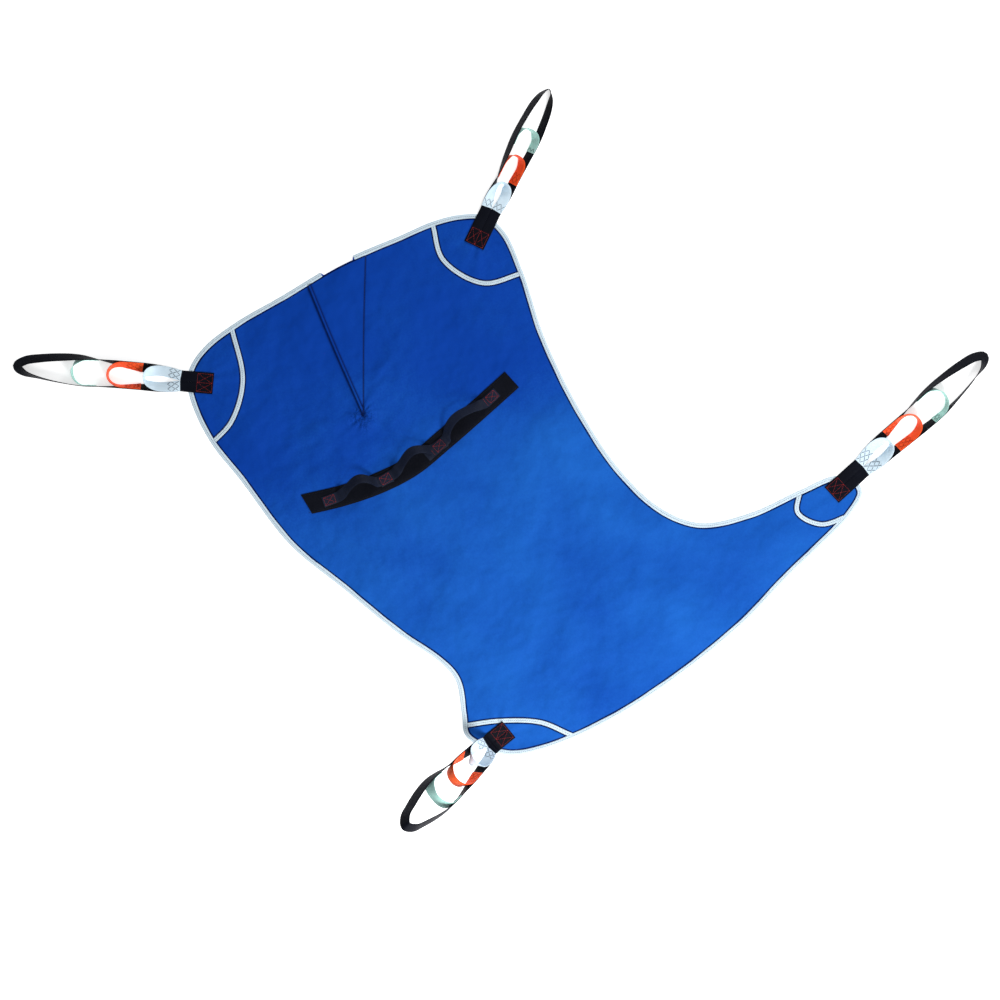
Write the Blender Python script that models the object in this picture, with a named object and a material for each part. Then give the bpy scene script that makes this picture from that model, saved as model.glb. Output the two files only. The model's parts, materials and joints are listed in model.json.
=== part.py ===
"""A four-point patient lifting sling, laid out flat and face up.

A bound fabric panel in three sections that fold on two lines, four corner patches with their tapes,
a pleat at the head end, a back strip with three grab handles, and four suspension straps. Each strap
is one black webbing loop with three coloured loops sewn inside it.

Metres, +Z up. +Y runs up the back to the head end, +X to the side of the swung-out leg section, and
the sling lies on Z = 0 with the middle of its outline at the origin. Left is the -X side.
"""

import math

import bmesh
import bpy
import numpy as np
from mathutils import Matrix, Vector

for leftover in list(bpy.data.objects):
    bpy.data.objects.remove(leftover, do_unlink=True)

# Overall sizes of the bound panel. Its pattern is graded to these two sizes, as a cutter grades it.
PANEL_WIDTH = 1.309
PANEL_LENGTH = 1.277

# Layers, from the floor up.
CLEAR = 0.0003               # gap between any two pieces that are sewn face to face
FABRIC = 0.0020              # panel cloth with its spacer backing
PATCH = 0.0010
PLEAT = 0.0009
BINDING = 0.0007             # binding tape, folded around the edge
BINDING_LIP = 0.013
TAPE_WIDTH = 0.012           # flat tape over each patch's inner edge
STRIP_WIDTH = 0.0508         # back strip under the handles
STRIP = 0.0012
WEBBING_WIDTH = 0.0254       # suspension webbing, two side by side at each corner
WEBBING = 0.0016
LOOP_WEBBING = 0.0014        # the lighter webbing of the coloured loops
LOOP_GAP = 0.0005            # between a coloured loop and the black webbing it is sewn to
HANDLE_WEBBING = 0.0012

# Fold lines and hinges.
HEAD_FOLD_Y = 0.151
LEG_FOLD_Y = -0.269
FOLD_GAP = 0.0006            # cut between two sections, and between a strap and its sewn end

# Handles.
TACK_LENGTH = 0.034          # sewn length of a handle end
TACK_RAMP = 0.018            # the run in which the webbing lifts off the strip
RAMP_STEPS = 6
TACK_LIFT = 0.0095
HANDLE_RISE = 0.024          # crown of a handle above its two ends
HANDLE_LEAN = math.radians(40)
ARCH_STEPS = 20              # sections along a handle

# Straps.
SEWN_LENGTH = 0.042          # webbing under the box stitch
SETTLE = 0.070               # run in which a flat strap comes down from the panel to the floor
LOOP_LENGTH = 0.394          # from the split between the two ends to the tip
LOOP_HALF_WIDTH = 0.034
STATION = 0.0085             # spacing of the sections along the webbing
CROWN_STEPS = 8              # sections in a quarter turn of a coloured loop's crown

# Drawing units of the pattern below, and its extent across and along.
PATTERN_WIDTH = 1309
PATTERN_LENGTH = 1277

# The outer edge of the bound panel, anticlockwise from the head pleat.
OUTLINE = (
    [(-240, 551), (-397, 546), (-517, 544)]                                        # head edge, left
    + [(-612, 530), (-669, 502), (-695, 466), (-710, 404)]                         # left shoulder
    + [(-712, 314), (-694, 208), (-665, 14), (-602, -145), (-539, -303), (-488, -404)]   # left side
    + [(-475, -462), (-502, -543), (-519, -589), (-499, -632), (-448, -683)]       # left leg corner
    + [(-379, -708), (-304, -721), (-224, -726), (-114, -725), (62, -705), (201, -677)]  # foot edge
    + [(349, -631), (498, -591), (545, -575), (597, -541), (593, -499), (553, -473)]     # right leg
    + [(469, -464), (338, -454), (221, -417), (155, -339), (115, -213)]            # inside of the leg
    + [(101, -40), (111, 152), (142, 316)]                                         # right side
    + [(150, 421), (127, 478), (76, 509), (9, 527), (-75, 535), (-162, 545)]       # right shoulder
)
BINDING_END_LEFT = -284      # the binding stops short of the head pleat on each side
BINDING_END_RIGHT = -180

# Middle line of the tape over each patch's inner edge.
PATCH_ARCS = {
    "left_shoulder": [(-535, 537), (-572, 415), (-644, 341), (-711, 318)],
    "right_shoulder": [(7, 520), (-12, 434), (44, 339), (140, 314)],
    "left_leg": [(-509, -568), (-433, -597), (-346, -649), (-298, -709)],
    "right_leg": [(467, -467), (438, -508), (473, -560), (545, -575)],
}
PLEAT_OUTLINE = [(-324, 570), (-165, 570), (-357, 208), (-362, 200)]
STRIP_LINE = [(-583, 80), (-492, 55), (-403, 40), (-317, 38), (-213, 57), (-107, 80), (-7, 103)]
TACKS = [(-529, 62), (-387, 41), (-234, 49), (-69, 90)]

# Twist of the webbing along each leg of a loop, at shares of the loop's length. -90 lies flat with
# its inner face up, 0 stands on edge, and more than 0 leans in with its outer face up.
TWIST_SHARES = (0.0, 0.15, 0.3, 0.5, 0.7, 0.86, 1.0)

# Each strap: inner end of its sewn end, bearing, pitch off the floor, free run before the split,
# scale of its loops, and the twist of its left and right legs.
STRAPS = {
    "left_shoulder": dict(
        end=(-638, 441), bearing=145.8, pitch=0, run=0.036, size=(1.0, 1.0),
        left=(-90, -55, -25, -3, 0, 10, 62), right=(-90, -78, -42, 0, 45, 55, 62)),
    "right_shoulder": dict(
        end=(69, 428), bearing=35.2, pitch=0, run=0.052, size=(0.815, 0.78),
        left=(-90, -28, 12, 34, 34, 38, 10), right=(-90, -78, -55, -48, -48, -40, 10)),
    "left_leg": dict(
        end=(-420, -627), bearing=190.0, pitch=50, run=0.030, size=(0.97, 1.2),
        left=(-90, -48, -30, 0, 12, 18, 24), right=(-90, -48, -25, 15, 30, 30, 24)),
    "right_leg": dict(
        end=(529, -511), bearing=13.2, pitch=0, run=0.058, size=(1.0, 1.0),
        left=(-90, -68, -34, 5, 28, 48, 60), right=(-90, -55, -45, -32, -5, 5, 60)),
}

# Half the loop's plan, outwards: share of its length, share of what the half width adds to a leg.
LEG_PLAN = [(0.0, 0.0), (0.08, 0.26), (0.25, 0.54), (0.45, 0.84), (0.6, 1.0), (0.73, 0.84), (0.86, 0.5)]
TIP_SHARE = (0.955, 0.42)    # the last point before the tip, as shares of the length and half width

# Coloured loops: share of the strap's loop where each is first sewn, leaves its leg and has its crown.
LOOPS = {
    "blue": dict(sewn=0.0, leaves=0.11, crown=0.223, twist=-4, colour=(0.60, 0.77, 0.88)),
    "orange": dict(sewn=0.236, leaves=0.35, crown=0.446, twist=-3, colour=(1.0, 0.10, 0.012)),
    "green": dict(sewn=0.505, leaves=0.585, crown=0.664, twist=-2, colour=(0.25, 0.62, 0.52)),
}

PANEL_BLUE = (0.008, 0.075, 0.43)
TAPE_BLUE = (0.60, 0.78, 0.90)
BLACK = (0.008, 0.009, 0.014)
CLOTH_ROUGHNESS = 0.75
TAPE_ROUGHNESS = 0.7
WEBBING_ROUGHNESS = 0.6

UP = Vector((0, 0, 1))

# Heights that follow from the layers.
FABRIC_BOTTOM = BINDING + CLEAR
FABRIC_TOP = FABRIC_BOTTOM + FABRIC
ON_FABRIC = FABRIC_TOP + CLEAR
BINDING_TOP = ON_FABRIC + BINDING
PATCH_TOP = ON_FABRIC + PATCH
STRIP_TOP = ON_FABRIC + STRIP
PAD_BOTTOM = PATCH_TOP + CLEAR
PAD_TOP = PAD_BOTTOM + WEBBING
FABRIC_INSET = BINDING + CLEAR
PATCH_INSET = BINDING_LIP + CLEAR


def graded(point):
    """A pattern point at the panel's size."""
    x, y = point
    return Vector((x * PANEL_WIDTH / PATTERN_WIDTH, y * PANEL_LENGTH / PATTERN_LENGTH))


def spline(points, closed=False, steps=24):
    """Points along a centripetal Catmull-Rom curve through the given 2D points."""
    points = [Vector(p) for p in points]
    if closed:
        points = points[-1:] + points + points[:2]
    else:
        points = [2 * points[0] - points[1]] + points + [2 * points[-1] - points[-2]]
    curve = []
    for a, b, c, d in zip(points, points[1:], points[2:], points[3:]):
        ta = math.sqrt((b - a).length)
        tb = math.sqrt((c - b).length)
        tc = math.sqrt((d - c).length)
        start = (b - a) / ta - (c - a) / (ta + tb) + (c - b) / tb
        end = (c - b) / tb - (d - b) / (tb + tc) + (d - c) / tc
        for k in range(steps):
            t = k / steps
            curve.append(
                (2 * t**3 - 3 * t**2 + 1) * b + (t**3 - 2 * t**2 + t) * tb * start
                + (3 * t**2 - 2 * t**3) * c + (t**3 - t**2) * tb * end)
    if not closed:
        curve.append(points[-2])
    return curve


def thinned(path, turn=math.radians(8), reach=0.045):
    """The path with only the points where it has turned or gone on far enough."""
    kept = [path[0]]
    turned = 0.0
    for before, here, after in zip(path, path[1:], path[2:]):
        turned += (here - before).angle(after - here)
        if turned > turn or (here - kept[-1]).length > reach:
            kept.append(here)
            turned = 0.0
    return kept + [path[-1]]


def even(path, spacing):
    """The path sampled again at close to the given spacing."""
    points = np.array([tuple(p) for p in path])
    along = np.concatenate([[0], np.cumsum(np.linalg.norm(np.diff(points, axis=0), axis=1))])
    where = np.linspace(0, along[-1], max(2, round(along[-1] / spacing)) + 1)
    columns = [np.interp(where, along, points[:, k]) for k in range(points.shape[1])]
    return [Vector(row) for row in np.column_stack(columns).tolist()]


def offset(path, distance, closed=False):
    """The 2D path moved to its left by the distance, mitred at its corners."""
    moved = []
    last = len(path) - 1
    for k, here in enumerate(path):
        before = path[k - 1] if k or closed else 2 * here - path[1]
        after = path[(k + 1) % len(path)] if k < last or closed else 2 * here - path[k - 1]
        into = (here - before).normalized()
        out = (after - here).normalized()
        across = (into + out).normalized().orthogonal()
        moved.append(here + across * (distance / max(0.3, across.dot(out.orthogonal()))))
    return moved


def add_object(name, bm, colour, roughness, matrix=None):
    """Puts a finished mesh in the scene as one named, coloured sub-part."""
    bmesh.ops.recalc_face_normals(bm, faces=bm.faces)
    mesh = bpy.data.meshes.new(name)
    bm.to_mesh(mesh)
    bm.free()
    material = bpy.data.materials.new(name)
    material.use_nodes = True
    shader = material.node_tree.nodes["Principled BSDF"]
    shader.inputs["Base Color"].default_value = (*colour, 1)
    shader.inputs["Roughness"].default_value = roughness
    shader.inputs["Metallic"].default_value = 0.0
    mesh.materials.append(material)
    obj = bpy.data.objects.new(name, mesh)
    bpy.context.scene.collection.objects.link(obj)
    if matrix:
        obj.matrix_world = matrix
    return obj


def slab(points, bottom, top):
    """A flat plate with the given 2D outline."""
    bm = bmesh.new()
    low = [bm.verts.new((p.x, p.y, bottom)) for p in points]
    high = [bm.verts.new((p.x, p.y, top)) for p in points]
    bm.faces.new(low[::-1])
    bm.faces.new(high)
    for k in range(len(points)):
        j = (k + 1) % len(points)
        bm.faces.new((low[k], low[j], high[j], high[k]))
    return bm


def swept(sections, closed=False):
    """A skin over a row of equal sections, with flat ends unless it is closed.

    Opposite faces of a twisted band are split along the same diagonal, so bands sewn face to face
    stay parallel.
    """
    bm = bmesh.new()
    rings = [[bm.verts.new(point) for point in section] for section in sections]
    pairs = list(zip(rings, rings[1:])) + ([(rings[-1], rings[0])] if closed else [])
    for ring, following in pairs:
        for k in range(len(ring)):
            j = (k + 1) % len(ring)
            if k < len(ring) // 2:
                bm.faces.new((ring[k], ring[j], following[k]))
                bm.faces.new((ring[j], following[j], following[k]))
            else:
                bm.faces.new((ring[k], ring[j], following[j]))
                bm.faces.new((ring[k], following[j], following[k]))
    if not closed:
        bm.faces.new(rings[0][::-1])
        bm.faces.new(rings[-1])
    return bm


def webbing(frames, width, thickness):
    """A flat band along frames of (centre, direction of its width, direction of its inner face)."""
    sections = []
    for centre, across, inward in frames:
        w = across * width / 2
        n = inward * thickness / 2
        sections.append([centre - w - n, centre + w - n, centre + w + n, centre - w + n])
    return swept(sections)


def trimmed(bm, place, direction):
    """Cuts the solid with a plane, drops what lies beyond it and closes the cut."""
    everything = bm.verts[:] + bm.edges[:] + bm.faces[:]
    bmesh.ops.bisect_plane(
        bm, geom=everything, dist=1e-7, plane_co=place, plane_no=direction, clear_outer=True)
    bmesh.ops.holes_fill(bm, edges=[edge for edge in bm.edges if edge.is_boundary])
    return bm


def band(bm, low, high, axis):
    """Keeps the part of the solid between two places on an axis, each None for open."""
    direction = Vector((0, 0, 0))
    direction[axis] = 1.0
    if low is not None:
        trimmed(bm, direction * low, -direction)
    if high is not None:
        trimmed(bm, direction * high, direction)
    return bm


# Panel: one cut of cloth, split on its two fold lines.

edge = thinned(spline([graded(p) for p in OUTLINE], closed=True))
if (edge[0] - edge[-1]).length < STATION:
    edge.pop()
half_gap = FOLD_GAP / 2
sections = {
    "head_panel": (HEAD_FOLD_Y + half_gap, None),
    "back_panel": (LEG_FOLD_Y + half_gap, HEAD_FOLD_Y - half_gap),
    "leg_panel": (None, LEG_FOLD_Y - half_gap),
}
for name, (low, high) in sections.items():
    cloth = slab(offset(edge, FABRIC_INSET, closed=True), FABRIC_BOTTOM, FABRIC_TOP)
    add_object(name, band(cloth, low, high, axis=1), PANEL_BLUE, CLOTH_ROUGHNESS)


# Binding: a tape folded around the edge, with a lip above and below the cloth.


def binding_ring():
    profile = [
        (0, 0), (0, BINDING_TOP), (BINDING_LIP, BINDING_TOP), (BINDING_LIP, BINDING_TOP - BINDING),
        (BINDING, BINDING_TOP - BINDING), (BINDING, BINDING), (BINDING_LIP, BINDING), (BINDING_LIP, 0)]
    rows = [[(p.x, p.y, z) for p in offset(edge, inset, closed=True)] for inset, z in profile]
    return swept(list(zip(*rows)), closed=True)


middle = graded(((BINDING_END_LEFT + BINDING_END_RIGHT) / 2, 0)).x
pleat_left = graded((BINDING_END_LEFT, 0)).x
pleat_right = graded((BINDING_END_RIGHT, 0)).x
bindings = {
    "head_binding_left": (sections["head_panel"], (None, pleat_left)),
    "head_binding_right": (sections["head_panel"], (pleat_right, None)),
    "side_binding_left": (sections["back_panel"], (None, middle)),
    "side_binding_right": (sections["back_panel"], (middle, None)),
    "leg_binding": (sections["leg_panel"], (None, None)),
}
for name, (along, across) in bindings.items():
    tape = band(binding_ring(), *along, axis=1)
    add_object(name, band(tape, *across, axis=0), TAPE_BLUE, TAPE_ROUGHNESS)


# Patches, their tapes and the pleat: flat pieces on the cloth, trimmed to lie inside the binding.

inside = add_object(
    "inside_binding_cutter",
    slab(offset(edge, PATCH_INSET, closed=True), -PAD_TOP, 2 * PAD_TOP), TAPE_BLUE, TAPE_ROUGHNESS)
inside.hide_render = True
inside.display_type = "WIRE"


def laid_inside(name, points, thickness, colour):
    """A flat piece on the cloth, cut off where the binding's lip begins."""
    piece = add_object(name, slab(points, ON_FABRIC, ON_FABRIC + thickness), colour, CLOTH_ROUGHNESS)
    cut = piece.modifiers.new("inside the binding", "BOOLEAN")
    cut.operation = "INTERSECT"
    cut.solver = "EXACT"
    cut.object = inside


ARC_SPACING = 0.018
REACH = 0.10                 # how far a patch's outline runs out past the panel before it is cut
CORNER_REACH = 0.35
for corner, arc in PATCH_ARCS.items():
    line = even(spline([graded(p) for p in arc]), ARC_SPACING)
    start = line[0] + (line[0] - line[1]).normalized() * REACH
    end = line[-1] + (line[-1] - line[-2]).normalized() * REACH
    line = [start] + line + [end]
    chord = line[-2] - line[1]
    middle_point = (line[1] + line[-2]) / 2
    outward = chord.orthogonal().normalized()
    if outward.dot(middle_point - graded(TACKS[2])) < 0:
        outward = -outward
    side = 1 if outward.dot(chord.orthogonal()) > 0 else -1
    rim = offset(line, side * (TAPE_WIDTH / 2 + CLEAR))
    laid_inside(corner + "_patch", rim + [middle_point + outward * CORNER_REACH], PATCH, PANEL_BLUE)
    tape = offset(line, TAPE_WIDTH / 2) + offset(line, -TAPE_WIDTH / 2)[::-1]
    laid_inside(corner + "_patch_tape", tape, BINDING, TAPE_BLUE)

laid_inside("head_pleat", [graded(p) for p in PLEAT_OUTLINE], PLEAT, PANEL_BLUE)


# Back strip, and the handles along it.


def flat_frames(line, height):
    """Frames of a band that lies flat along a 2D line."""
    frames = []
    ahead = line[1:] + [2 * line[-1] - line[-2]]
    behind = [2 * line[0] - line[1]] + line[:-1]
    for before, here, after in zip(behind, line, ahead):
        across = (after - before).orthogonal().normalized().to_3d()
        frames.append((Vector((here.x, here.y, height)), across, UP))
    return frames


STRIP_SPACING = 0.03
strip_line = even(spline([graded(p) for p in STRIP_LINE]), STRIP_SPACING)
strip = webbing(flat_frames(strip_line, STRIP_TOP - STRIP / 2), STRIP_WIDTH, STRIP)
add_object("back_strip", strip, BLACK, WEBBING_ROUGHNESS)

tack_places = [graded(p) for p in TACKS]
TACK_HEIGHT = STRIP_TOP + CLEAR + HANDLE_WEBBING / 2
HINGE_HEIGHT = TACK_HEIGHT + TACK_LIFT
TACK_REACH = TACK_LENGTH / 2 + TACK_RAMP


def smooth_step(share):
    share = min(1.0, max(0.0, share))
    return share * share * (3 - 2 * share)


def tack_frames(place, neighbour):
    """Half of a sewn handle end: flat on the strip, then up a ramp towards its neighbour."""
    along = (neighbour - place).normalized()
    across = along.orthogonal().to_3d()
    frames = []
    ramp = [TACK_LENGTH / 2 + TACK_RAMP * k / RAMP_STEPS for k in range(RAMP_STEPS + 1)]
    for distance in [0] + ramp:
        lift = TACK_LIFT * smooth_step((distance - TACK_LENGTH / 2) / TACK_RAMP)
        frames.append(((place + along * distance).to_3d() + UP * (TACK_HEIGHT + lift), across, UP))
    return frames


def end_frames(place, neighbour):
    """The plain outer half of the first and last handle end."""
    along = (place - neighbour).normalized()
    outer = (place + along * TACK_LENGTH / 2).to_3d() + UP * TACK_HEIGHT
    return [(outer, (-along).orthogonal().to_3d(), UP)]


for k, place in enumerate(tack_places):
    if k == 0:
        frames = end_frames(place, tack_places[1]) + tack_frames(place, tack_places[1])
    elif k == len(tack_places) - 1:
        back = tack_frames(place, tack_places[k - 1])[::-1]
        frames = back + end_frames(place, tack_places[k - 1])
        frames = [(frame[0], frames[0][1], UP) for frame in frames]
    else:
        back = tack_frames(place, tack_places[k - 1])[::-1]
        ahead = tack_frames(place, tack_places[k + 1])
        straight = (ahead[0][1] - back[-1][1]).normalized()
        frames = [(frame[0], -frame[1], UP) for frame in back[:-1]]
        frames += [(back[-1][0], straight, UP)] + ahead[1:]
    end = webbing(frames, WEBBING_WIDTH, HANDLE_WEBBING)
    add_object(f"handle_end_{k + 1}", end, BLACK, WEBBING_ROUGHNESS)

for k, (first, second) in enumerate(zip(tack_places, tack_places[1:])):
    along = (second - first).normalized()
    start = first + along * (TACK_REACH + FOLD_GAP)
    span = (second - first).length - 2 * (TACK_REACH + FOLD_GAP)
    frames = []
    for step in range(ARCH_STEPS + 1):
        share = step / ARCH_STEPS
        rise = HANDLE_RISE * (1 - math.cos(2 * math.pi * share)) / 2
        slope = HANDLE_RISE * math.pi * math.sin(2 * math.pi * share) / span
        inward = Vector((slope, 0, -1)).normalized()
        frames.append((Vector((span * share, 0, rise)), Vector((0, 1, 0)), inward))
    turn = Matrix.Rotation(math.atan2(along.y, along.x), 4, "Z")
    lean = Matrix.Rotation(-HANDLE_LEAN, 4, "X")
    place = Matrix.Translation((start.x, start.y, HINGE_HEIGHT)) @ turn @ lean
    arch = webbing(frames, WEBBING_WIDTH, HANDLE_WEBBING)
    add_object(f"handle_{k + 1}", arch, BLACK, WEBBING_ROUGHNESS, place)


# Suspension straps. Each is built lying along +X from its hinge, with the floor at -PAD_TOP, and
# is then turned to its bearing and pitch about that hinge.

LEG_OFFSET = WEBBING_WIDTH / 2 + CLEAR
BOTH_ENDS_WIDTH = 2 * (LEG_OFFSET + WEBBING_WIDTH / 2)
STRAIGHT_SHARE = 0.6         # how much of the free run the two ends lie straight and side by side


def standing_height(twist):
    """Height of a band's middle above the floor, for its lower edge to clear the floor."""
    lean_room = (WEBBING + LOOP_GAP) * max(0.0, math.sin(twist))
    return WEBBING_WIDTH / 2 * abs(math.cos(twist)) + WEBBING / 2 * abs(math.sin(twist)) + lean_room


def band_frame(before, here, after, inner_side, twist):
    """Frame of a band at a point of its path, turned by its twist."""
    along = (after - before).normalized()
    inward = along.cross(UP).normalized() * inner_side
    across = math.cos(twist) * UP + math.sin(twist) * inward
    across = (across - along * across.dot(along)).normalized()
    face = math.cos(twist) * inward - math.sin(twist) * UP
    face = (face - along * face.dot(along) - across * face.dot(across)).normalized()
    return here, across, face


def lifted(x, run, twist):
    """Height of the band's middle: on the panel along its free run, then down to the floor."""
    down = smooth_step((x - run) / SETTLE)
    on_panel = PAD_BOTTOM + WEBBING / 2 + (standing_height(twist) - standing_height(-math.pi / 2))
    return on_panel * (1 - down) + standing_height(twist) * down - PAD_TOP


def leg_frames(strap, side):
    """Shares, twists and frames along one leg of the black loop, from the hinge out to the tip."""
    length = LOOP_LENGTH * strap["size"][0]
    half_width = LOOP_HALF_WIDTH * strap["size"][1]
    run = strap["run"]
    plan = [(half_gap, LEG_OFFSET), (run * STRAIGHT_SHARE, LEG_OFFSET)]
    plan += [(run + x * length, LEG_OFFSET + y * (half_width - LEG_OFFSET)) for x, y in LEG_PLAN]
    plan += [(run + TIP_SHARE[0] * length, TIP_SHARE[1] * half_width), (run + length, 0.0)]
    mirrored = plan + [(x, -y) for x, y in plan[-2::-1]]
    whole = spline(mirrored)
    path = even(whole[:len(whole) // 2 + 1], STATION)
    key_twists = [math.radians(a) for a in strap["left" if side > 0 else "right"]]
    keys = spline(list(zip(TWIST_SHARES, key_twists)))
    shares = [max(0.0, (p.x - run) / length) for p in path]
    twists = np.interp(shares, [p.x for p in keys], [p.y for p in keys]).tolist()
    points = [Vector((p.x, side * p.y, lifted(p.x, run, twist))) for p, twist in zip(path, twists)]
    before_first = [2 * points[0] - points[1]]
    after_last = [Vector((points[-2].x, -points[-2].y, points[-2].z))]
    around = zip(before_first + points, points, points[1:] + after_last, twists)
    frames = [band_frame(a, b, c, side, twist) for a, b, c, twist in around]
    return list(zip(shares, twists, frames))


def crown_frames(sewn, beside, crown_x, twist_end, run, side):
    """A quarter turn from a coloured loop's last sewn frame to its crown, drawing away from the leg."""
    start, twist_start = sewn[-1][2][0], sewn[-1][1]
    extra = start.z - lifted(start.x, run, twist_start)
    leg_x = [row[2][0].x for row in beside]
    leg_y = [row[2][0].y for row in beside]
    leg_twist = [row[1] for row in beside]
    points, twists = [], []
    for k in range(CROWN_STEPS + 2):
        angle = math.pi / 2 * k / CROWN_STEPS
        ease = smooth_step(1 - math.cos(min(angle, math.pi / 2)))
        x = start.x + (crown_x - start.x) * math.sin(angle)
        twist = float(np.interp(x, leg_x, leg_twist)) * (1 - ease) + twist_end * ease
        y = float(np.interp(x, leg_x, leg_y)) * math.cos(angle)
        points.append(Vector((x, y, lifted(x, run, twist) + extra * (1 - ease))))
        twists.append(twist)
    around = zip([2 * points[0] - points[1]] + points, points, points[1:], twists)
    return [band_frame(a, b, c, side, twist) for a, b, c, twist in around][1:]


def coloured_loop(legs, strap, loop):
    """A coloured loop: sewn inside both black legs, then around its crown."""
    away = (WEBBING + LOOP_WEBBING) / 2 + LOOP_GAP
    run = strap["run"]
    crown_x = run + loop["crown"] * LOOP_LENGTH * strap["size"][0]
    halves = []
    for leg, side in zip(legs, (1, -1)):
        beside = [(s, t, (c + face * away, across, face)) for s, t, (c, across, face) in leg]
        past_split = [row for row in beside if row[2][0].x > run]
        sewn = [row for row in past_split if loop["sewn"] <= row[0] <= loop["leaves"]]
        crown = crown_frames(sewn, beside, crown_x, math.radians(loop["twist"]), run, side)
        halves.append([row[2] for row in sewn] + crown)
    return webbing(halves[0] + halves[1][-2::-1], WEBBING_WIDTH, LOOP_WEBBING)


for corner, strap in STRAPS.items():
    bearing = math.radians(strap["bearing"])
    along = Vector((math.cos(bearing), math.sin(bearing)))
    inner_end = graded(strap["end"])
    outer_end = inner_end + along * SEWN_LENGTH
    pad_line = [inner_end, outer_end - along * half_gap]
    pad = webbing(flat_frames(pad_line, PAD_TOP - WEBBING / 2), BOTH_ENDS_WIDTH, WEBBING)
    add_object(corner + "_sewn_end", pad, BLACK, WEBBING_ROUGHNESS)

    turn = Matrix.Rotation(bearing, 4, "Z")
    lift = Matrix.Rotation(-math.radians(strap["pitch"]), 4, "Y")
    hinge = Matrix.Translation((outer_end.x, outer_end.y, PAD_TOP)) @ turn @ lift
    legs = leg_frames(strap, 1), leg_frames(strap, -1)
    black = [row[2] for row in legs[0]] + [row[2] for row in legs[1]][-2::-1]
    loop_skin = webbing(black, WEBBING_WIDTH, WEBBING)
    add_object(corner + "_black_loop", loop_skin, BLACK, WEBBING_ROUGHNESS, hinge)
    for name, loop in LOOPS.items():
        loop_skin = coloured_loop(legs, strap, loop)
        add_object(f"{corner}_{name}_loop", loop_skin, loop["colour"], WEBBING_ROUGHNESS, hinge)
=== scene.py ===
"""A patient lifting sling laid out flat: its cloth, binding, patches, webbing and thread."""
import json
import math
import random

import bpy
import numpy as np
from mathutils import Matrix, Vector
from mathutils.geometry import delaunay_2d_cdt


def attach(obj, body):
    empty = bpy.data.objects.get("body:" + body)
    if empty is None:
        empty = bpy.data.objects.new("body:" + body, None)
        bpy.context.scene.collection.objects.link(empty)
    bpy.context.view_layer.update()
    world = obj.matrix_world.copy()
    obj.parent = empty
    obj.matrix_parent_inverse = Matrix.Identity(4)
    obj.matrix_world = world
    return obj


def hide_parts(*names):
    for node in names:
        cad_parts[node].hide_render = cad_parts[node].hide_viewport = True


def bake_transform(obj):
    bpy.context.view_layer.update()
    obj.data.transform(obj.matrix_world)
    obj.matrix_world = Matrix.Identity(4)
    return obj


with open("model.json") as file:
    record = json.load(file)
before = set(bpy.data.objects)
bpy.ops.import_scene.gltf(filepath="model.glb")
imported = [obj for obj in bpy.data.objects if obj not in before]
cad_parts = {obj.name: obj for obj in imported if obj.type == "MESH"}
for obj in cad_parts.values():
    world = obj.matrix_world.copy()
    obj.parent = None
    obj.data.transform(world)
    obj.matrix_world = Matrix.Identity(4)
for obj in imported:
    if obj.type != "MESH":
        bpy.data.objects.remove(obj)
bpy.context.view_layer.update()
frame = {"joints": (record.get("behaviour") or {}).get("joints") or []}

# ---- Panel cloth ---------------------------------------------------------------------------------
# One cut of royal-blue polyester, woven, with a soft backing, 2 mm thick in all. It lies face up and
# eases off the bed in shallow swells. It is made as an upper and a lower piece, joined across the back.

MM = 0.001
UP = Vector((0, 0, 1))
OUTLINE = (
    [(-240, 551), (-397, 546), (-517, 544)]                                        # head edge, left
    + [(-612, 530), (-669, 502), (-695, 466), (-710, 404)]                         # left shoulder
    + [(-712, 314), (-694, 208), (-665, 14), (-602, -145), (-539, -303), (-488, -404)]   # left side
    + [(-475, -462), (-502, -543), (-519, -589), (-499, -632), (-448, -683)]       # left leg corner
    + [(-379, -708), (-304, -721), (-224, -726), (-114, -725), (62, -705), (201, -677)]  # foot edge
    + [(349, -631), (498, -591), (545, -575), (597, -541), (593, -499), (553, -473)]     # right leg
    + [(469, -464), (338, -454), (221, -417), (155, -339), (115, -213)]            # inside of the leg
    + [(101, -40), (111, 152), (142, 316)]                                         # right side
    + [(150, 421), (127, 478), (76, 509), (9, 527), (-75, 535), (-162, 545)]       # right shoulder
)
GAP_LEFT = -0.284            # the binding stops short of the head pleat on each side
GAP_RIGHT = -0.197
GAP_INSET = 0.010            # the bare cloth edge between the two binding ends is cut back
LAYER_GAP = 0.0003
BINDING = 0.0007
LIP = 0.0112
CLOTH = 0.0020
CLOTH_BOTTOM = BINDING + LAYER_GAP
CLOTH_TOP = CLOTH_BOTTOM + CLOTH
ON_CLOTH = CLOTH_TOP + LAYER_GAP
CLOTH_GRID = 0.0052
FINE_GRID = 0.0020
SPLIT_Y = -0.06              # where the upper and lower pieces of the panel meet
DART_TIP = Vector((-0.360, 0.203))
HEAD_EDGE_FROM = 0.5         # the head edge lies above this Y

joints = {joint["name"]: joint for joint in frame["joints"]}


def in_metres(points):
    return [Vector((x * MM, y * MM)) for x, y in points]


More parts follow.
